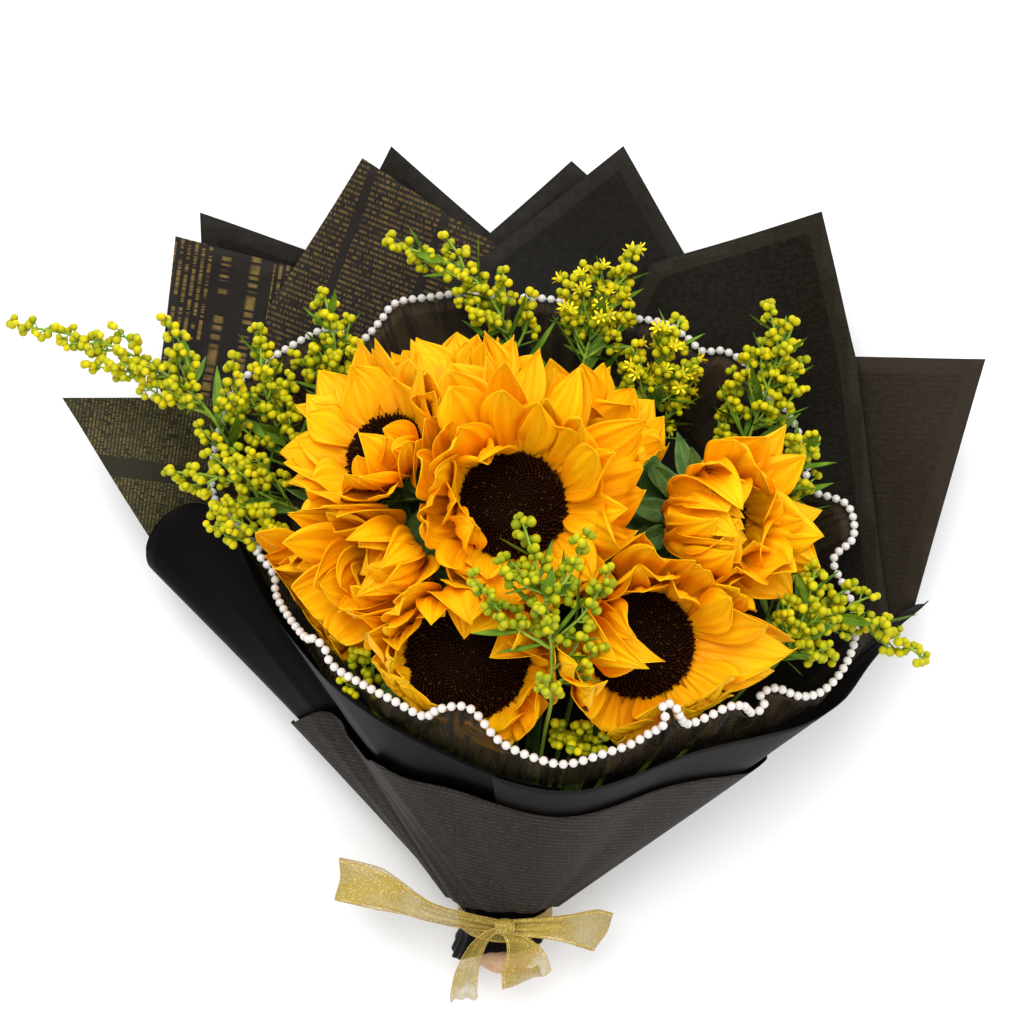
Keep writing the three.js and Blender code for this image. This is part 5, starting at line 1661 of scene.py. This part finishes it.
def ribbon_loops(shape, k, full):
    """The left and the right loop, from the knot and back to it."""
    ribbon_strip(shape, [k, (-44, -222, 58), (-74, -210, 60), (-97, -205, 50), (-74, -211, 42),
                         (-44, -224, 48), k],
                 [(0, 1, 0.2), (0.1, 1, 0.2), (0.1, 1, 0.1), (0.1, 1, 0), (0.1, 1, 0),
                  (0.1, 1, 0.2), (0, 1, 0.2)],
                 [7, 10, full - 2, full, full - 2, 10, 7], 64)
    ribbon_strip(shape, [k, (23, -229, 66), (42, -231, 58), (52, -236, 44), (43, -234, 40),
                         (28, -231, 52), k],
                 [(0, 1, 0.2), (0.4, 1, 0.2), (0.5, 1, 0.1), (0.5, 1, 0), (0.5, 1, 0),
                  (0.4, 1, 0.2), (0, 1, 0.2)],
                 [7, 14, full, full, full, 14, 7], 52)


def ribbon_tails(shape, k, full):
    ribbon_strip(shape, [k, (-16, -235, 68), (-24, -252, 60), (-27, -269, 44), (-27, -277, 26)],
                 [(1, 0.1, 0), (1, 0.15, 0), (1, 0.1, 0), (1, 0, 0), (1, 0.2, 0)],
                 [6, 10, full - 11, full - 9, full - 8])
    ribbon_strip(shape, [k, (7, -240, 66), (8, -256, 58), (6, -264, 42), (5, -260, 26)],
                 [(1, 0, 0), (1, -0.1, 0), (1, 0.1, 0), (1, 0.3, 0), (1, 0.3, 0)],
                 [7, full - 4, full + 4, full, full - 4])


def ribbon_band(place, turns):
    """A grid of a closed band: place gives a point for each turn and share of its width."""
    return np.array([[place(turn, s) for s in np.linspace(-1, 1, 9)]
                     for turn in np.linspace(0, 2 * math.pi, turns)])


def ribbon():
    """Two loops, two tails, the turn round the stems and the knot."""
    knot = TIE + np.array([0.0, -10.0, 28.0])

    def tie(turn, s):
        radius = FOOT_BORE + 2.6 + 0.6 * math.sin(s * 6 + 2 * math.sin(turn))
        return round_stems(5 + 6.3 * s, radius, turn)

    def knotted(turn, s):
        swell = 1 - 0.25 * s * s
        return knot + np.array([5.5 * s, 4.8 * swell * math.cos(turn),
                                3.8 * swell * math.sin(turn)])

    shape = Shape()
    ribbon_loops(shape, tuple(knot), RIBBON_WIDTH)
    ribbon_tails(shape, tuple(knot), RIBBON_WIDTH)
    shape.grid(ribbon_band(tie, 73))
    shape.grid(ribbon_band(knotted, 25))
    piece = thicken(shape.piece("ribbon_bow", [RIBBON]), RIBBON_THICKNESS)
    dress(piece, "ribbon")
    return piece


# ---------------------------------------------------------------- camera, floor and light
WORLD_LIGHT = 0.98
KEY_WATTS = 33
FILL_WATTS = 7
FLOOR_SIZE = 12


def camera_above():
    """Straight above the origin, with the top of the picture towards +Y."""
    data = bpy.data.cameras.new("camera")
    data.lens = CAMERA_LENS
    data.sensor_width = 36.0
    data.clip_end = 20.0
    camera = placed("camera", data)
    camera.location = (0, 0, CAMERA_HEIGHT * MM)
    bpy.context.scene.camera = camera


def soft_light(name, place, target, size, watts):
    """A round soft light that faces its target; place, target and size are in metres."""
    data = bpy.data.lights.new(name, "AREA")
    data.shape = "DISK"
    data.size = size
    data.energy = watts
    light = placed(name, data)
    light.location = place
    x, y, z = np.array(target, float) - np.array(place, float)
    light.rotation_euler = (math.atan2(math.hypot(x, y), -z), 0, math.atan2(x, -y) + math.pi)


def studio():
    floor_paint = Paint("floor_white", Roughness=0.8)
    floor_paint.set(Base_Color=floor_paint.ramp(floor_paint.specks(2.0), (0.0, (0.9, 0.9, 0.9)),
                                                (1.0, (0.92, 0.92, 0.92))))
    bpy.ops.mesh.primitive_plane_add(size=FLOOR_SIZE)
    floor = bpy.context.object
    floor.name = "floor"
    floor.data.materials.append(floor_paint.material)
    world = bpy.data.worlds.new("studio")
    world.use_nodes = True
    background = world.node_tree.nodes["Background"]
    background.inputs["Color"].default_value = (1, 1, 1, 1)
    background.inputs["Strength"].default_value = WORLD_LIGHT
    scene = bpy.context.scene
    scene.world = world
    scene.view_settings.view_transform = "Standard"
    soft_light("key", (-0.25, 1.0, 1.9), (0, -0.03, 0.1), 1.6, KEY_WATTS)
    soft_light("fill", (1.0, 0.4, 1.8), (0, 0, 0.1), 1.2, FILL_WATTS)


camera_above()
studio()
flowers()
back_sheets()
wrap_fronts()
string = pearl_line()
pearls(string)
net_ruffle(string)
foot_of_paper()
wad_of_stem_ends()
ribbon()
